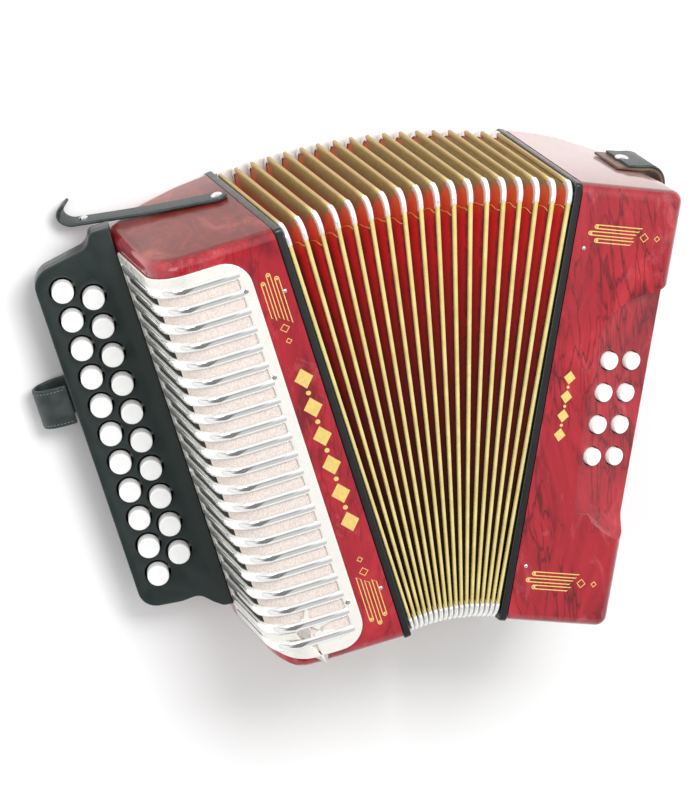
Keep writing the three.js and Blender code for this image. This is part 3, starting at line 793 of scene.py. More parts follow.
def grille_sheet():
    """The pierced sheet: outline with rounded corners and one slot between each two ribs."""
    left = PATH_LENGTH
    bottom = [(s, low_edge(s), 0) for s in np.linspace(left - 1, on_path(-46), 24)]
    right = [(0, SHEET_LOW, SHEET_CORNER), (0, SHEET_HIGH, SHEET_CORNER)]
    outline = fillet([*bottom, *right, (left, SHEET_HIGH, 3)], 9)
    start, wide = on_path(SLOT_RIGHT), on_path(-52)
    slots = []
    for k in range(RIB_COUNT - 1):
        y = RIB_TOP - (k + 0.5) * RIB_PITCH
        end = left - 9
        if y - SLOT_HALF < low_edge(end) + 3:
            end = on_path(-60)
        tight = min(on_path(-49) + 36, end - 8)
        half = [(start, SLOT_HALF, 1.2), (wide, SLOT_HALF, 20)]
        half += [(tight, SLOT_TIGHT, 20), (end, SLOT_TIGHT, 1.2)]
        upper = [(s, y + h, r) for s, h, r in half]
        lower = [(s, y - h, r) for s, h, r in half]
        slots.append(fillet([lower[0], *upper, *lower[:0:-1]], 30))
    sheet = slab("treble_grille_sheet", [outline, *slots], 0.35, 1.75, 0.5, Matrix(), GRILLE)
    work = bmesh.new()
    work.from_mesh(sheet.data)
    for s in np.linspace(0, PATH_LENGTH, 90)[1:-1]:
        geometry = work.verts[:] + work.edges[:] + work.faces[:]
        bmesh.ops.bisect_plane(work, geom=geometry, plane_co=(s * MM, 0, 0), plane_no=(1, 0, 0))
    work.to_mesh(sheet.data)
    work.free()
    flat = np.array([v.co for v in sheet.data.vertices]) / MM
    sheet.data.vertices.foreach_set("co", (placed(wrapped(flat), TREBLE) * MM).ravel())
    return weld(sheet)


settle(grille_sheet(), "treble_side", "grille_metal", "treble_grille")


def rib(y):
    """A half-round rib, swept over the sheet and tapered to a nose at each end."""
    start, end = on_path(-26.2), PATH_LENGTH - 4
    stations = np.r_[start, start + 1.5, start + 4, np.linspace(start + 8, end - 5, 52), end - 2, end]
    marks = [start, start + 1.5, start + 4, start + 9, end - 5, end - 2, end]
    swell = np.interp(stations, marks, [0.12, 0.55, 0.85, 1, 1, 0.8, 0.3])
    rings = []
    for s, size in zip(stations, swell):
        half = 3.0 * (0.55 + 0.45 * size)
        angles = np.radians(np.linspace(0, 180, 13))
        y_line = max(y, low_edge(s) + half) - half * np.cos(angles)
        lift = 1.2 + (0.3 + 1.4 * size) * np.sin(angles) ** 0.75
        rings.append(wrapped(np.column_stack((np.full(len(angles), s), y_line, lift))))
    return loft(rings)


ribs = merged(*(rib(RIB_TOP - k * RIB_PITCH) for k in range(RIB_COUNT)))
add("treble_grille_ribs", ribs, TREBLE, RIB, "treble_side", "grille_metal")


CLOTH_TOP = 262
CLOTH_START, CLOTH_END = on_path(-26.5), PATH_LENGTH - 3


def cloth_panel():
    """The thin cloth stretched between the casing and the grille."""
    rings = []
    for s in np.linspace(CLOTH_START, CLOTH_END, 90):
        y = np.linspace(low_edge(s) + np.interp(s, [0, 25], [8, 3]), CLOTH_TOP, 60)
        flat = np.column_stack((np.full(len(y), s), y))
        rings.append(np.vstack((wrapped(level(flat, 0.30)), wrapped(level(flat, 0.08))[::-1])))
    return loft(rings)


points, faces = cloth_panel()
# Past the bend the grille has no cloth and its slots open on the dark inside of the casing; here the panel goes on
# in near-black, as painted shade.
dark = [int(points[list(f)][:, 0].mean() < SIDE_X + 0.9) for f in faces]
cloth = make("grille_cloth", points, faces, TREBLE, [CLOTH, SHADE], dark)
settle(cloth, "treble_side", "grille_metal")


def grille_pin(s, y):
    spot, ahead = wrapped([[s, y, 1.6], [s, y, 2.6]])
    aim = Vector(ahead - spot).to_track_quat("Z", "Y").to_matrix().to_4x4()
    return moved(lathe(disc_profile(1.7, -0.6, 0.7, 0.5), 20), Matrix.Translation(spot) @ aim)


right_pins = [grille_pin(on_path(x), y) for x, y in ((-25.6, 191), (-25.8, 249), (-25.6, 36))]
left_pins = [grille_pin(CLOTH_END, y) for y in (262, 120)]
add("grille_pins", merged(*right_pins, *left_pins), TREBLE, CHROME, "treble_side", "grille_metal")


# ---------------------------------------------------------------- fingerboard
def board_outline(draw=0.0):
    right = -0.3
    corners = [
        (right, 22 + draw, 0),
        (-6.5, 22.6 + draw, 6),
        (-12, 27 + draw, 10),
        (-19, 34.5 + draw, 9),
        (-30, 33.5 + draw, 20),
        (-55.3 + draw, 36.5 + draw, 12 - draw),
        (-55.3 + draw, 269 - draw, 13),
        (-27, 274.5 - draw, 18),
        (-17, 276.5 - draw, 9),
        (-13, 284.8 - draw, 5),
        (right, 285 - draw, 0),
    ]
    return fillet(corners, 9)


key_places = []
for row, x, offset, pallet_z, count in (("outer", OUTER_ROW, 0, 108, 11), ("inner", INNER_ROW, 0.5, 74, 10)):
    for i in range(count):
        y = FIRST_BUTTON - (i + offset) * BUTTON_PITCH
        key_places.append((f"treble_key_{row}_{i + 1:02d}", x, y, pallet_z))
button_holes = [arc(x, y, 8.3, 0, 350, 35) for _, x, y, _ in key_places]
board = slab("fingerboard_top", [board_outline(), *button_holes], -3.5, 0, 0.9, BOARD_FRAME, BLACK)
settle(board, "treble_side", "black_board", "fingerboard")
# The wall between board and cover runs round three sides; the casing's side is open to it.
wall = np.vstack((board_outline(0.1), board_outline(4)[::-1]))
rim = slab("fingerboard_rim", [wall], -11.5, -3.4, 0.5, BOARD_FRAME, BLACK)
settle(rim, "treble_side", "black_board")
cover = slab("fingerboard_back", [board_outline(0.5)], -14.8, -11.8, 0.8, BOARD_FRAME, BLACK)
settle(cover, "treble_side", "black_board", "fingerboard_cover")


def to_board(x, z):
    dx, dz = x - BOARD["x"], z - BOARD["z"]
    c, s = math.cos(BOARD["tilt"]), math.sin(BOARD["tilt"])
    return dx * c + dz * s, dz * c - dx * s


def treble_key(name, x, y, pallet_z):
    """Button, flat alloy lever round its axle, and a felted wooden pallet."""
    axle_x, axle_z = to_board(AXLE_X, AXLE_Z)
    back_x, back_z = to_board(PALLET_FACE - 3.2, pallet_z)
    at_hole = Matrix.Translation((x, y, 0))
    button = moved(lathe(disc_profile(6.8, -1.5, 6.0, 0.9, 0.25)), at_hole)
    stem = moved(rod(2, -7, -0.5, 16), at_hole)
    grip = 3.4
    outline = [
        (x - 2, -8.6),
        (axle_x - grip, -8.6),
        (axle_x, axle_z - grip),
        (axle_x + grip, axle_z - 1),
        (back_x + 0.4, back_z - 3),
        (back_x + 0.4, back_z + 3),
        (axle_x - 1, axle_z + grip),
        (axle_x - 5, -5),
        (x - 2, -5),
    ]
    lever = along_y(fillet([(a, b, 0.8) for a, b in outline], 30), y - 1.2, y + 1.2)
    lean = Matrix.Rotation(BOARD["tilt"], 4, "Y") @ Matrix.Translation((-BOARD["x"], 0, -BOARD["z"]))
    layers = []
    for back, front, half_y, half_z, edge in ((-3.2, -1.3, 7.8, 13, 0.4), (-1.3, 0, 7.6, 12.8, 0.3)):
        low = (PALLET_FACE + back, y - half_y, pallet_z - half_z)
        high = (PALLET_FACE + front, y + half_y, pallet_z + half_z)
        layers.append(moved(block(low, high, edge), lean))
    solids = (button, stem, lever, *layers)
    slots = face_slots((0, 1, 1, 2, 3), solids)
    materials = [IVORY, ALLOY, WOOD_TREBLE, FELT]
    piece = make(name + "_piece", *merged(*solids), BOARD_FRAME, materials, slots)
    settle(piece, name, "ivory_buttons", name)


for key in key_places:
    treble_key(*key)

# ---------------------------------------------------------------- bass buttons
def push_button(name, cap, stem, place):
    slots = face_slots((0, 1), (cap, stem))
    piece = make(name + "_piece", *merged(cap, stem), place, [IVORY, ALLOY], slots)
    settle(piece, name, "ivory_buttons", name)


for name, x, y in bass_buttons:
    at_hole = Matrix.Translation((x, y, 0))
    cap = lathe(disc_profile(5.5, -14, 3.6, 0.7, 0.1))
    push_button(name, moved(cap, at_hole), moved(rod(2, -26, -13.5, 16), at_hole), PANEL_FRAME)
push_button("air_button", lathe(disc_profile(5, 4, 8, 0.9, 0.3)), rod(2.4, -14, 4.5, 20), AIR_FRAME)

# ---------------------------------------------------------------- bellows
CORNER_STEPS = 8
SIDE_STEPS = (13, 26, 13, 26)  # front-top corner round to the front, bottom, back and top


def ridge_outline(depth):
    """Rounded rectangle in (distance from the fan's centre line, z); equal counts at all depths."""
    lo = np.array([R_BOTTOM + RIDGE_INSET + depth, RIDGE_INSET + depth])
    hi = np.array([R_BOTTOM + HEIGHT - RIDGE_INSET - depth, DEPTH - RIDGE_INSET - depth])
    r = max(RIDGE_CORNER - depth / 2, 2)
    centres = [(hi[0] - r, hi[1] - r), (lo[0] + r, hi[1] - r), (lo[0] + r, lo[1] + r), (hi[0] - r, lo[1] + r)]
    points = []
    for k, (cx, cy) in enumerate(centres):
        corner = arc(cx, cy, r, 90 * k, 90 * k + 90, CORNER_STEPS)
        points.append(corner)
        following = arc(*centres[(k + 1) % 4], r, 90 * k + 90, 90 * k + 90, 1)[0]
        count = SIDE_STEPS[(k + 1) % 4]
        share = np.linspace(0, 1, count + 1)[1:-1, None]
        points.append(corner[-1] + (following - corner[-1]) * share)
    return np.vstack(points)


RIDGE = ridge_outline(0)
VALLEY = ridge_outline(FOLD_DEPTH)
LOOP = np.r_[0, np.cumsum(np.linalg.norm(np.roll(RIDGE, -1, 0) - RIDGE, axis=1))]
# Loop length at the middle of each corner: front-top, front-bottom, back-bottom, back-top.
CORNER_FIRSTS = np.cumsum([0, *(CORNER_STEPS + count for count in SIDE_STEPS[1:])])
MIDDLES = [LOOP[first] + RIDGE_CORNER * math.pi / 4 for first in CORNER_FIRSTS]
APART = [abs(LOOP[:-1] - middle) for middle in MIDDLES]
TO_CORNER = np.min([np.minimum(apart, LOOP[-1] - apart) for apart in APART], axis=0)
# 1 along the top end's side of the loop, and 0 elsewhere.
ON_TOP = np.clip((RIDGE[:, 0] - (RIDGE[:, 0].max() - RIDGE_CORNER)) / RIDGE_CORNER, 0, 1)
# Grows towards the bottom end, where the folds are pressed together; it drives the painted shade there.
NARROW = np.clip((RIDGE[:, 0].max() - RIDGE[:, 0]) / HEIGHT, 0, 1)


def fan_point(outline, angle):
    """Points in the instrument's frame: outline rows are (r, z), angle is from the middle plane."""
    r, z = outline[:, 0], outline[:, 1]
    return np.column_stack((r * np.sin(angle), CENTRE_Y + r * np.cos(angle), z))


def at_depth(outline, valley, depth):
    return outline + (valley - outline) * np.clip(depth / FOLD_DEPTH, -1, 2)[..., None]


def angle_of(u):
    return -FAN / 2 + u * PITCH


# Each bellows joint k has a stretch of folds from start to end, in pitches; the pieces of each stretch are built
# together.
CREVICE = 0.04
STRETCHES = []
for k in range(2, RIDGES):
    if k in (16, 17):
        start, end = (13.5 + CREVICE, 15.25) if k == 16 else (15.25, 17.0)
    elif k % 2:
        start, end = k - 1.5 - CREVICE, k - 1.5 + CREVICE
    else:
        start, end = (0.0 if k == 2 else k - 2.5 + CREVICE), k - 0.5 - CREVICE
    STRETCHES.append((k, start, end))


def eased(u, r):
    """u with each ridge's tape kept stiff: no bending inside its half width."""
    tape = np.minimum(1.3 / (r * PITCH), 0.42)
    nearest = np.round(u)
    off = u - nearest
    share = np.clip((abs(off) - tape) / (0.5 - tape), 0, 1) * 0.5
    return nearest + np.sign(off) * share


def weighted(piece):
    """Bakes a bellows piece's placement into its mesh."""
    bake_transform(piece)


def paint(piece, name, values):
    layer = piece.data.attributes.new(name, "FLOAT", "POINT")
    layer.data.foreach_set("value", np.asarray(values, np.float32))


def fold_samples(start, end):
    marks = [0, 0.03, 0.08, 0.16, 0.25, 0.34, 0.42, 0.47, 0.5]
    every = {round(n + side * m, 5) for n in range(0, RIDGES) for m in marks for side in (-1, 1)}
    inside = [u for u in every if start < u < end]
    return np.array(sorted({start, end, *inside}))


def share_of(u, r, start, end):
    first, last = eased(np.float64(start), r), eased(np.float64(end), r)
    return (eased(u, r) - first) / np.maximum(last - first, 1e-6)


def cloth_stretch(k, start, end):
    """The folded, cloth-covered card between two places, its skins 1.1 mm apart down the fold."""
    outer, inner, depths, shares = [], [], [], []
    for u in fold_samples(start, end):
        off = abs(u - round(u)) * 2
        for extra, rings in ((0.5, outer), (1.6, inner)):
            rings.append(fan_point(at_depth(RIDGE, VALLEY, FOLD_DEPTH * off + extra), angle_of(u)))
        depths.append(np.full(len(RIDGE), off))
        shares.append(share_of(u, at_depth(RIDGE, VALLEY, FOLD_DEPTH * off)[:, 0], start, end))
    points, faces = loft(outer + inner[::-1], caps=False, loop=True)
    piece = make(f"bellows_cloth_{k:02d}", points, faces, MIDDLE, CARD, crease=50)
    paint(piece, "fold_depth", np.concatenate(depths + depths[::-1]))
    near_corner = np.clip(1.2 - TO_CORNER / 13, 0, 1)
    for name, values in (("gusset", near_corner), ("end_wall", ON_TOP), ("narrow", NARROW)):
        paint(piece, name, np.tile(values, 2 * len(depths)))
    weighted(piece)
    if k < RIDGES - 1:
        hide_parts(f"bellows_fold_{k:02d}")


def cap_section(half, reach, lift, wall):
    """Section of a cap over a ridge: (sideways, depth) points, a rounded U and its inside."""
    rise = [(half, reach), (half, 0.25), (half * 0.72, -lift * 0.7)]
    over = [(-x, z) for x, z in rise] + [(0, -lift)] + rise[::-1]
    inside = half - wall
    under = [(inside * 0.9, reach), (inside * 0.8, 0.5), (-inside * 0.8, 0.5), (-inside * 0.9, reach)]
    return np.array(over + under)


def cap_rings(ridge, section, loop_points):
    """Rings of a cap along chosen loop points of ridge number ridge (0 is the first)."""
    rings = []
    for outline, valley in loop_points:
        r_line = at_depth(outline[None], valley[None], section[:, 1])
        slim = 0.70 + 0.32 * (outline[0] - R_BOTTOM) / HEIGHT
        angles = angle_of(ridge) + section[:, 0] * slim / outline[0]
        rings.append(fan_point(r_line, angles))
    return rings


def loop_point(distance):
    """Ridge and valley outline points at a loop length."""
    spots = []
    for outline in (RIDGE, VALLEY):
        closed = np.vstack((outline, outline[:1]))
        spots.append(np.array([np.interp(distance % LOOP[-1], LOOP, closed[:, c]) for c in (0, 1)]))
    return spots


TAPE_SECTION = cap_section(1.2, 2.0, 0.35, 0.35)
GUARD_SECTION = cap_section(1.5, 3.2, 0.8, 0.35)
# How far each guard runs from its corner's middle, against and along the loop.
GUARD_REACH = ((8, 10.5), (8, 8), (8, 8), (10.5, 8))


CREASE_LIP, CREASE_FOOT = 0.40, 0.1  # a crease's ends, in pitches from the valley
ALL_ROUND = [loop_point(d) for d in LOOP[:-1]]
AT_CORNERS = [
    [loop_point(d) for d in np.linspace(middle - before, middle + after, 22)]
    for middle, (before, after) in zip(MIDDLES, GUARD_REACH)
]


def trimmings(k, start, end):
    """Tape and corner guards of the ridges in one stretch."""
    ridges = [n for n in range(RIDGES) if start <= n < end or n == k == RIDGES - 1]
    tape = [loft(cap_rings(n, TAPE_SECTION, ALL_ROUND), caps=False, loop=True) for n in ridges]
    guards = [loft(cap_rings(n, GUARD_SECTION, run)) for n in ridges for run in AT_CORNERS]
    for label, solids, material in (("tape", tape, TAPE), ("guards", guards, GUARD)):
        if not solids:
            continue
        points, faces = merged(*solids)
        piece = make(f"bellows_{label}_{k:02d}", points, faces, MIDDLE, material, crease=60)
        if label == "tape":
            # On the top end the tapes are painted darker towards the back.
            top_side = points[:, 1] > CENTRE_Y + R_BOTTOM + HEIGHT * 0.8
            paint(piece, "back_darkening", np.clip((DEPTH - 8 - points[:, 2]) / 20, 0, 1) * top_side)
        weighted(piece)


def crease(middle, front, pleat, side, start, end):
    """One gold fold from a guard's foot into the valley, and its points' shares of the far body."""
    lip_u, foot_u = pleat + 0.5 + side * CREASE_LIP, pleat + 0.5 + side * CREASE_FOOT
    rings, shares = [], []
    for t in np.linspace(0, 1, 9):
        u = lip_u + (foot_u - lip_u) * t
        depth = FOLD_DEPTH * abs(u - round(u)) * 2 + 0.1
        start_at = 1.04 + 0.5 * ((pleat * 0.618 + side * 0.29) % 1)
        reach = front * (start_at - 0.9 * t) + math.copysign(0.5, front) * math.sin(t * 7 + pleat)
        outline, valley = loop_point(middle + reach)
        centre_line = at_depth(outline, valley, depth)
        size = 0.42 * (1 - 0.5 * t)
        ring = []
        for a in np.radians(np.arange(0, 360, 60)):
            spot = centre_line + size * math.sin(a) * np.array([0.7, -0.7])
            ring.append(fan_point(spot[None], angle_of(u) + size * math.cos(a) / outline[0])[0])
        rings.append(ring)
        shares += [float(share_of(u, outline[0], start, end))] * len(ring)
    return loft(rings), shares


def crease_lines(k, start, end):
    """Thin gold folds at the two top corners, both sides of each pleat in one stretch."""
    corners = ((MIDDLES[0], GUARD_REACH[0][1]), (MIDDLES[3], -GUARD_REACH[3][0]))
    creases = [
        crease(*corner, pleat, side, start, end)
        for pleat in range(RIDGES - 1)
        for side in (-1, 1)
        if start <= pleat + 0.5 + side * (CREASE_LIP if side < 0 else CREASE_FOOT)
        and pleat + 0.5 + side * (CREASE_FOOT if side < 0 else CREASE_LIP) <= end
        for corner in corners
    ]
    if creases:
        points, faces = merged(*(solid for solid, _ in creases))
        piece = make(f"bellows_creases_{k:02d}", points, faces, MIDDLE, GOLD, crease=80)
        weighted(piece)


for joint, start, end in STRETCHES:
    cloth_stretch(joint, start, end)
    trimmings(joint, start, end)
    crease_lines(joint, start, end)


def frame_outline(draw, radius):
    corners = ((draw, draw), (HEIGHT - draw, draw), (HEIGHT - draw, DEPTH - draw), (draw, DEPTH - draw))
    return fillet([(y, z, radius) for y, z in corners], 15)


def end_frame(side, place):
    """The black bellows frame of a casing, and the dark collar that the first fold is glued to."""
    ring = ("frame_ring", frame_outline(0, 2.5), (0.3, FRAME_THICK), 0.9, [f"{side}_bellows_frame"])
    collar = ("collar", frame_outline(2.2, 8), (FRAME_THICK - 0.4, END_PLANE + 0.6), 0.3, [])
    for part, outline, span, edge, nodes in (ring, collar):
        low, high = span if side == "treble" else (-span[1], -span[0])
        outlines = [outline, frame_outline(22, 3)]
        piece = slab(f"{side}_bellows_{part}", outlines, low, high, edge, place, LACQUER, [2, 0, 1])
        settle(piece, f"{side}_side", "frame_black", *nodes)


end_frame("treble", TREBLE)
end_frame("bass", BASS)


# ---------------------------------------------------------------- gold ornament and pins
def wire(path, radius, sides=6):
    """A thin raised closed line in the plane of a face, from (x, y, z) points."""
    rings = []
    for i in range(len(path)):
        along = path[(i + 1) % len(path)] - path[i - 1]
        along /= np.linalg.norm(along)
        across = np.cross(along, (0, 0, 1))
        angles = np.linspace(0, 2 * math.pi, sides, endpoint=False)[:, None]
        rings.append(path[i] + radius * (np.cos(angles) * across + 0.5 * np.sin(angles) * (0, 0, 1)))
    return loft(rings, loop=True)


def hairpin(x, y, length, half, toward):
    """A long narrow loop with a round eye at its head; it runs along `toward` from (x, y)."""
    side = np.array([-toward[1], toward[0]])
    head = np.array([x, y])
    along = np.array(toward, float)
    turn = [head + half * (math.cos(a) * -along + math.sin(a) * side) for a in np.linspace(-1.57, 1.57, 9)]
    ends = [head + side * half + along * length, head - side * half + along * (length - 2.2)]
    middle, small = head + along * 0.4, 0.42 * half
    eye = [middle + small * (math.cos(a) * along + math.sin(a) * side) for a in np.linspace(0, 5.7, 10)]
    return [turn + ends, eye]


def diamond(x, y, half):
    return [(x - half, y), (x, y + half), (x + half, y), (x, y - half)]


def ornament(x, y, toward):
    """Three hairpins and two diamonds; (x, y) is the middle head, toward points to the diamonds."""
    along = np.array(toward, float)
    side = np.array([-along[1], along[0]])
    lines = []
    for offset, lead, length in ((-4.3, 4.6, 24.5), (0, 0, 30), (4.3, 3.4, 30)):
        head = np.array([x, y]) + side * offset + along * lead
        lines += hairpin(*head, length, 1.15, toward)
    for distance, half in ((35.5, 2.7), (44, 1.7)):
        lines.append(diamond(*(np.array([x, y]) + along * distance), half))
    return lines


def lozenges(x, first, step, count, width, height):
    """A plain row of solid lozenges and dots down the face."""
    shapes = []
    for k in range(count):
        y = first - k * step
        shapes.append([(x - width / 2, y), (x, y + height / 2), (x + width / 2, y), (x, y - height / 2)])
        if k < count - 1:
            shapes.append(arc(x, y - step / 2, min(width, step) * 0.13, 0, 340, 17).tolist())
    return shapes


def inlay(side, lines, solids, slope, place):
    """Gold lines and filled shapes on a casing's front."""
    parts = []
    for shape in [np.array(line, float) for line in lines]:
        parts.append(wire(level(shape, DEPTH + slope * shape[:, 0] + 0.02), 0.34))
    for shape in [np.array(solid, float) for solid in solids]:
        face = DEPTH + slope * shape[:, 0] + 0.02
        parts.append(loft([level(shape, face - 0.25), level(shape, face + 0.12)]))
    add(f"{side}_inlay", merged(*parts), place, GOLD, f"{side}_side", "ivory_buttons")


treble_lines = ornament(-11, 254, (0, -1)) + ornament(-11, 16, (0, 1))
inlay("treble", treble_lines, lozenges(-9.6, 184, 19.6, 6, 11.5, 13.5), SLOPE, TREBLE)
bass_lines = ornament(9.6, 250, (1, 0)) + ornament(9.0, 28, (1, 0))
inlay("bass", bass_lines, lozenges(12.8, 158.5, 12.2, 4, 7.6, 8.6), 0, BASS)

PIN_HEAD = [(0, -0.6), (1.35, -0.6), (1.35, 0.1), (1.35 * 0.8, 0.55), (1.35 * 0.4, 0.8), (0, 0.85)]
for side, end, x, y, height, place in (
    ("treble", "top", -4.2, 241.5, front_z(-4.2), TREBLE),
    ("treble", "bottom", -4.2, 38, front_z(-4.2), TREBLE),
    ("bass", "top", 7.0, 240.3, DEPTH, BASS),
    ("bass", "bottom", 6.1, 36.8, DEPTH, BASS),
):
    head = moved(lathe(PIN_HEAD, 20), Matrix.Translation((x, y, height)))
    add(f"{side}_pin_{end}", head, place, CHROME, f"{side}_side", "steel")


# ---------------------------------------------------------------- straps
def stitches(path, normal, offset, rows, pitch, lean=upright):
    """Rows of short raised stitches along a strap, as for band()."""
    lengths = np.r_[0, np.cumsum(np.linalg.norm(np.diff(path, axis=0), axis=1))]
    solids = []
    for start in np.arange(pitch, lengths[-1] - pitch, pitch):
        for row in rows:
            rings = []
            for t, size in ((0, 0.25), (0.25, 0.9), (0.75, 0.9), (1, 0.25)):
                s = start + t * pitch * 0.62
                at, out = (np.array([np.interp(s, lengths, v[:, c]) for c in (0, 1)]) for v in (path, normal))
                angles = np.linspace(0, 2 * math.pi, 6, endpoint=False)
                line = at + out * (offset + 0.22 * size * np.sin(angles))[:, None]
                rings.append(lean(line, row + 0.3 * size * np.cos(angles)))
            solids.append(loft(rings))
    return merged(*solids)


# Bellows strap: drawn along x from its screw, z out of the top end, then turned.
STRAP_FRAME = (
    TREBLE
    @ Matrix.Translation((-8, HEIGHT, 57))
    @ Matrix.Rotation(-math.pi / 2, 4, "X")
    @ Matrix.Rotation(math.radians(149.5), 4, "Z")
)
strap_path = spline([(0, 1.7), (43.5, 2.3), (87, 4.3), (96, 5.3), (100.6, 9.7), (99.6, 14.7), (95, 18.2)], 64)


strap_band = band(strap_path, 2.3, -6.2, 6.2, 0.9)
strap_head = lathe([(0, 0.5), (5.9, 0.5), (6.2, 1.0), (6.2, 2.5), (5.9, 2.9), (0, 2.9)], 28)
strap = merged(strap_band, strap_head)
add("bellows_strap_band", strap, STRAP_FRAME, LEATHER, "bellows_strap", "strap_leather", "bellows_strap")
strap_rows = stitches(strap_path[:52], normals_2d(strap_path)[:52], 1.18, (-4.9, -1.6, 1.6, 4.9), 1.9)
add("bellows_strap_stitches", strap_rows, STRAP_FRAME, THREAD, "bellows_strap", "strap_leather")
screw = lathe([(0, 2.6), (3.6, 2.6), (3.6, 3.2), (3.0, 3.9), (1.8, 4.4), (0, 4.55)], 28)
add("strap_screw", screw, STRAP_FRAME, CHROME, "bellows_strap", "steel")
stud = lathe([(0, -1), (2.9, -1), (2.9, 1.4), (2.3, 2.1), (1.2, 2.5), (0, 2.6)], 24)
stud = moved(stud, Matrix.Translation((87, 0, 4.6)))
add("strap_stud", stud, STRAP_FRAME, CHROME, "bellows_strap", "steel")

# Thumb strap: a loop from the board's outer edge round to its back cover.
thumb_outside = [(-57, -5.5), (-66, -6), (-74, -8.5), (-77.5, -14), (-73.5, -20.5)]
thumb_under = [(-62, -23.5), (-46, -23), (-34, -18.5), (-22, -16.7)]
thumb_path = spline(thumb_outside + thumb_under, 60)
thumb = band(thumb_path, 2.4, 167, 193, 0.9)
add("thumb_loop", thumb, BOARD_FRAME, LEATHER, "treble_side", "strap_leather", "thumb_strap")
thumb_rows = stitches(thumb_path[:36], -normals_2d(thumb_path)[:36], 1.2, (169.2, 190.8), 2.2)
add("thumb_stitches", thumb_rows, BOARD_FRAME, THREAD, "treble_side", "strap_leather")

# Hand strap: over the top end, down the outer side, under the bottom end.
STRAP_LOW, STRAP_HIGH = 55, 97
top_half = [(41, 2.3), (55, 2.5), (66, 2.9), (72.5, -4), (73.5, -22), (77, -70)]
upper = [(x, HEIGHT + y) for x, y in top_half]
lower = [(x, -y) for x, y in reversed(top_half)]
hand_path = spline([*upper, (80, HEIGHT / 2), *lower], 150)


hand_out = normals_2d(hand_path)
lining = band(hand_path - hand_out * 0.9, 1.8, STRAP_LOW, STRAP_HIGH, 0.6, level)
add("hand_strap_lining", lining, BASS, HIDE, "bass_side", "strap_leather", "hand_strap")
hide_path = hand_path[3:-3] + hand_out[3:-3] * 0.8
hide = band(hide_path, 2.0, STRAP_LOW + 1, STRAP_HIGH - 1, 0.9, level)
add("hand_strap_hide", hide, BASS, LEATHER, "bass_side", "strap_leather")
hand_rows = stitches(hide_path, hand_out[3:-3], 1.0, (STRAP_LOW + 3.5, STRAP_HIGH - 3.5), 3.0, level)
add("hand_strap_stitches", hand_rows, BASS, THREAD, "bass_side", "strap_leather")
rivet = lathe([(0, -0.5), (4.4, -0.5), (4.4, 0.3), (3.6, 1.2), (2.0, 1.7), (0, 1.8)], 28)
for end, y, flip in (("top", HEIGHT + 4.0, 1), ("bottom", -4.0, -1)):
    aim = Matrix.Translation((51, y, 76)) @ Matrix.Rotation(-flip * math.pi / 2, 4, "X")
    add(f"hand_strap_rivet_{end}", moved(rivet, aim), BASS, CHROME, "bass_side", "steel")

# ---------------------------------------------------------------- inner CAD pieces, kept
for node, material in (
    ("treble_action_board", WOOD_TREBLE),
    ("treble_reed_block", WOOD_TREBLE),
    ("bass_action_board", WOOD_BASS),
    ("bass_reed_block", WOOD_BASS),
    ("treble_key_axle", STEEL),
):
    kept = frame["nodes"][node]
    kept.data.materials.clear()
    kept.data.materials.append(material)
    soften = kept.modifiers.new("edges", "BEVEL")
    soften.width = 0.4 * MM
    soften.segments = 2
    soften.limit_method = "ANGLE"
    soften.angle_limit = math.radians(50)

# ---------------------------------------------------------------- floor, light, camera
camera_data = bpy.data.cameras.new("camera")
camera_data.sensor_width = 36
camera_data.lens = 252
camera = bpy.data.objects.new("camera", camera_data)
camera.location = (MIDDLE @ Vector((-997.0, 1196.7, 3236.2))) * MM
camera.rotation_euler = Euler([math.radians(a) for a in (-16.675, -18.024, -3.794)])
bpy.context.scene.collection.objects.link(camera)
bpy.context.scene.camera = camera


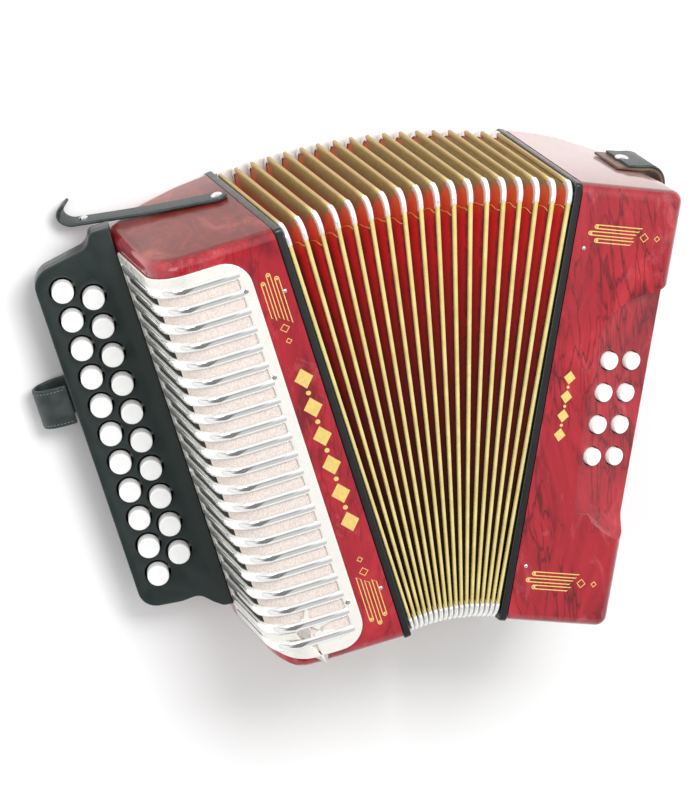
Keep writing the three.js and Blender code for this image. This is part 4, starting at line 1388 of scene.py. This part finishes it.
paper = Look("floor_paper")
tone = paper.ramp(paper.noise(3, 2), (0.3, 0.93), (0.7, 0.95))
paper.set(Base_Color=tone, Roughness=0.9, Specular_IOR_Level=0.1)
FLOOR_HALF = 12000
floor_corners = [(x * FLOOR_HALF, y * FLOOR_HALF, 0) for x, y in ((-1, -1), (1, -1), (1, 1), (-1, 1))]
make("floor", floor_corners, [(0, 1, 2, 3)], Matrix(), paper.material)


def softbox(name, place, aim, width, height, power):
    light = bpy.data.lights.new(name, "AREA")
    light.shape = "RECTANGLE"
    light.size, light.size_y = width, height
    light.energy = power
    lamp = bpy.data.objects.new(name, light)
    lamp.location = place
    lamp.rotation_euler = (Vector(place) - Vector(aim)).to_track_quat("Z", "Y").to_euler()
    bpy.context.scene.collection.objects.link(lamp)


softbox("key", (0.3, 1.3, 2.0), (0, 0, 0.1), 1.3, 0.8, 36)
softbox("fill", (-1.9, 0.1, 1.6), (0, 0, 0.1), 1.0, 1.0, 9)
world = bpy.data.worlds.new("studio")
world.use_nodes = True
studio = Nodes(world.node_tree)
toward = studio.add("SeparateXYZ", Vector=studio.add("TexCoord").outputs["Generated"]).outputs
height = studio.math("ARCTAN2", toward["Y"], toward["Z"])
height = studio.add("MapRange", Value=height, From_Min=-math.pi / 2, From_Max=math.pi / 2).outputs["Result"]
sideways = studio.add("MapRange", Value=toward["X"], From_Min=-1, From_Max=1).outputs["Result"]
# A white room with a grey gap overhead, towards the bottom end, and a black screen beside it.
room = ((0.0, 0.85), (0.20, 0.95), (0.25, 0.48), (0.41, 0.48), (0.47, 0.95), (0.85, 0.95), (0.97, 0.55))
far_side = studio.ramp(sideways, (0.77, 0.0), (0.84, 0.75))
walls = studio.mix(1.0, studio.ramp(height, *room), far_side, "LIGHTEN")
beyond_x = studio.ramp(sideways, (0.11, 1.0), (0.18, 0.0), (0.36, 0.0), (0.41, 1.0))
beyond_y = studio.ramp(height, (0.12, 1.0), (0.18, 0.0), (0.46, 0.0), (0.52, 1.0))
screened = studio.mix(1.0, beyond_x, beyond_y, "LIGHTEN")
backdrop = studio.mix(1.0, walls, screened, "MULTIPLY")
studio.feed(world.node_tree.nodes["Background"].inputs["Color"], backdrop)
bpy.context.scene.world = world
bpy.context.scene.view_settings.view_transform = "Standard"
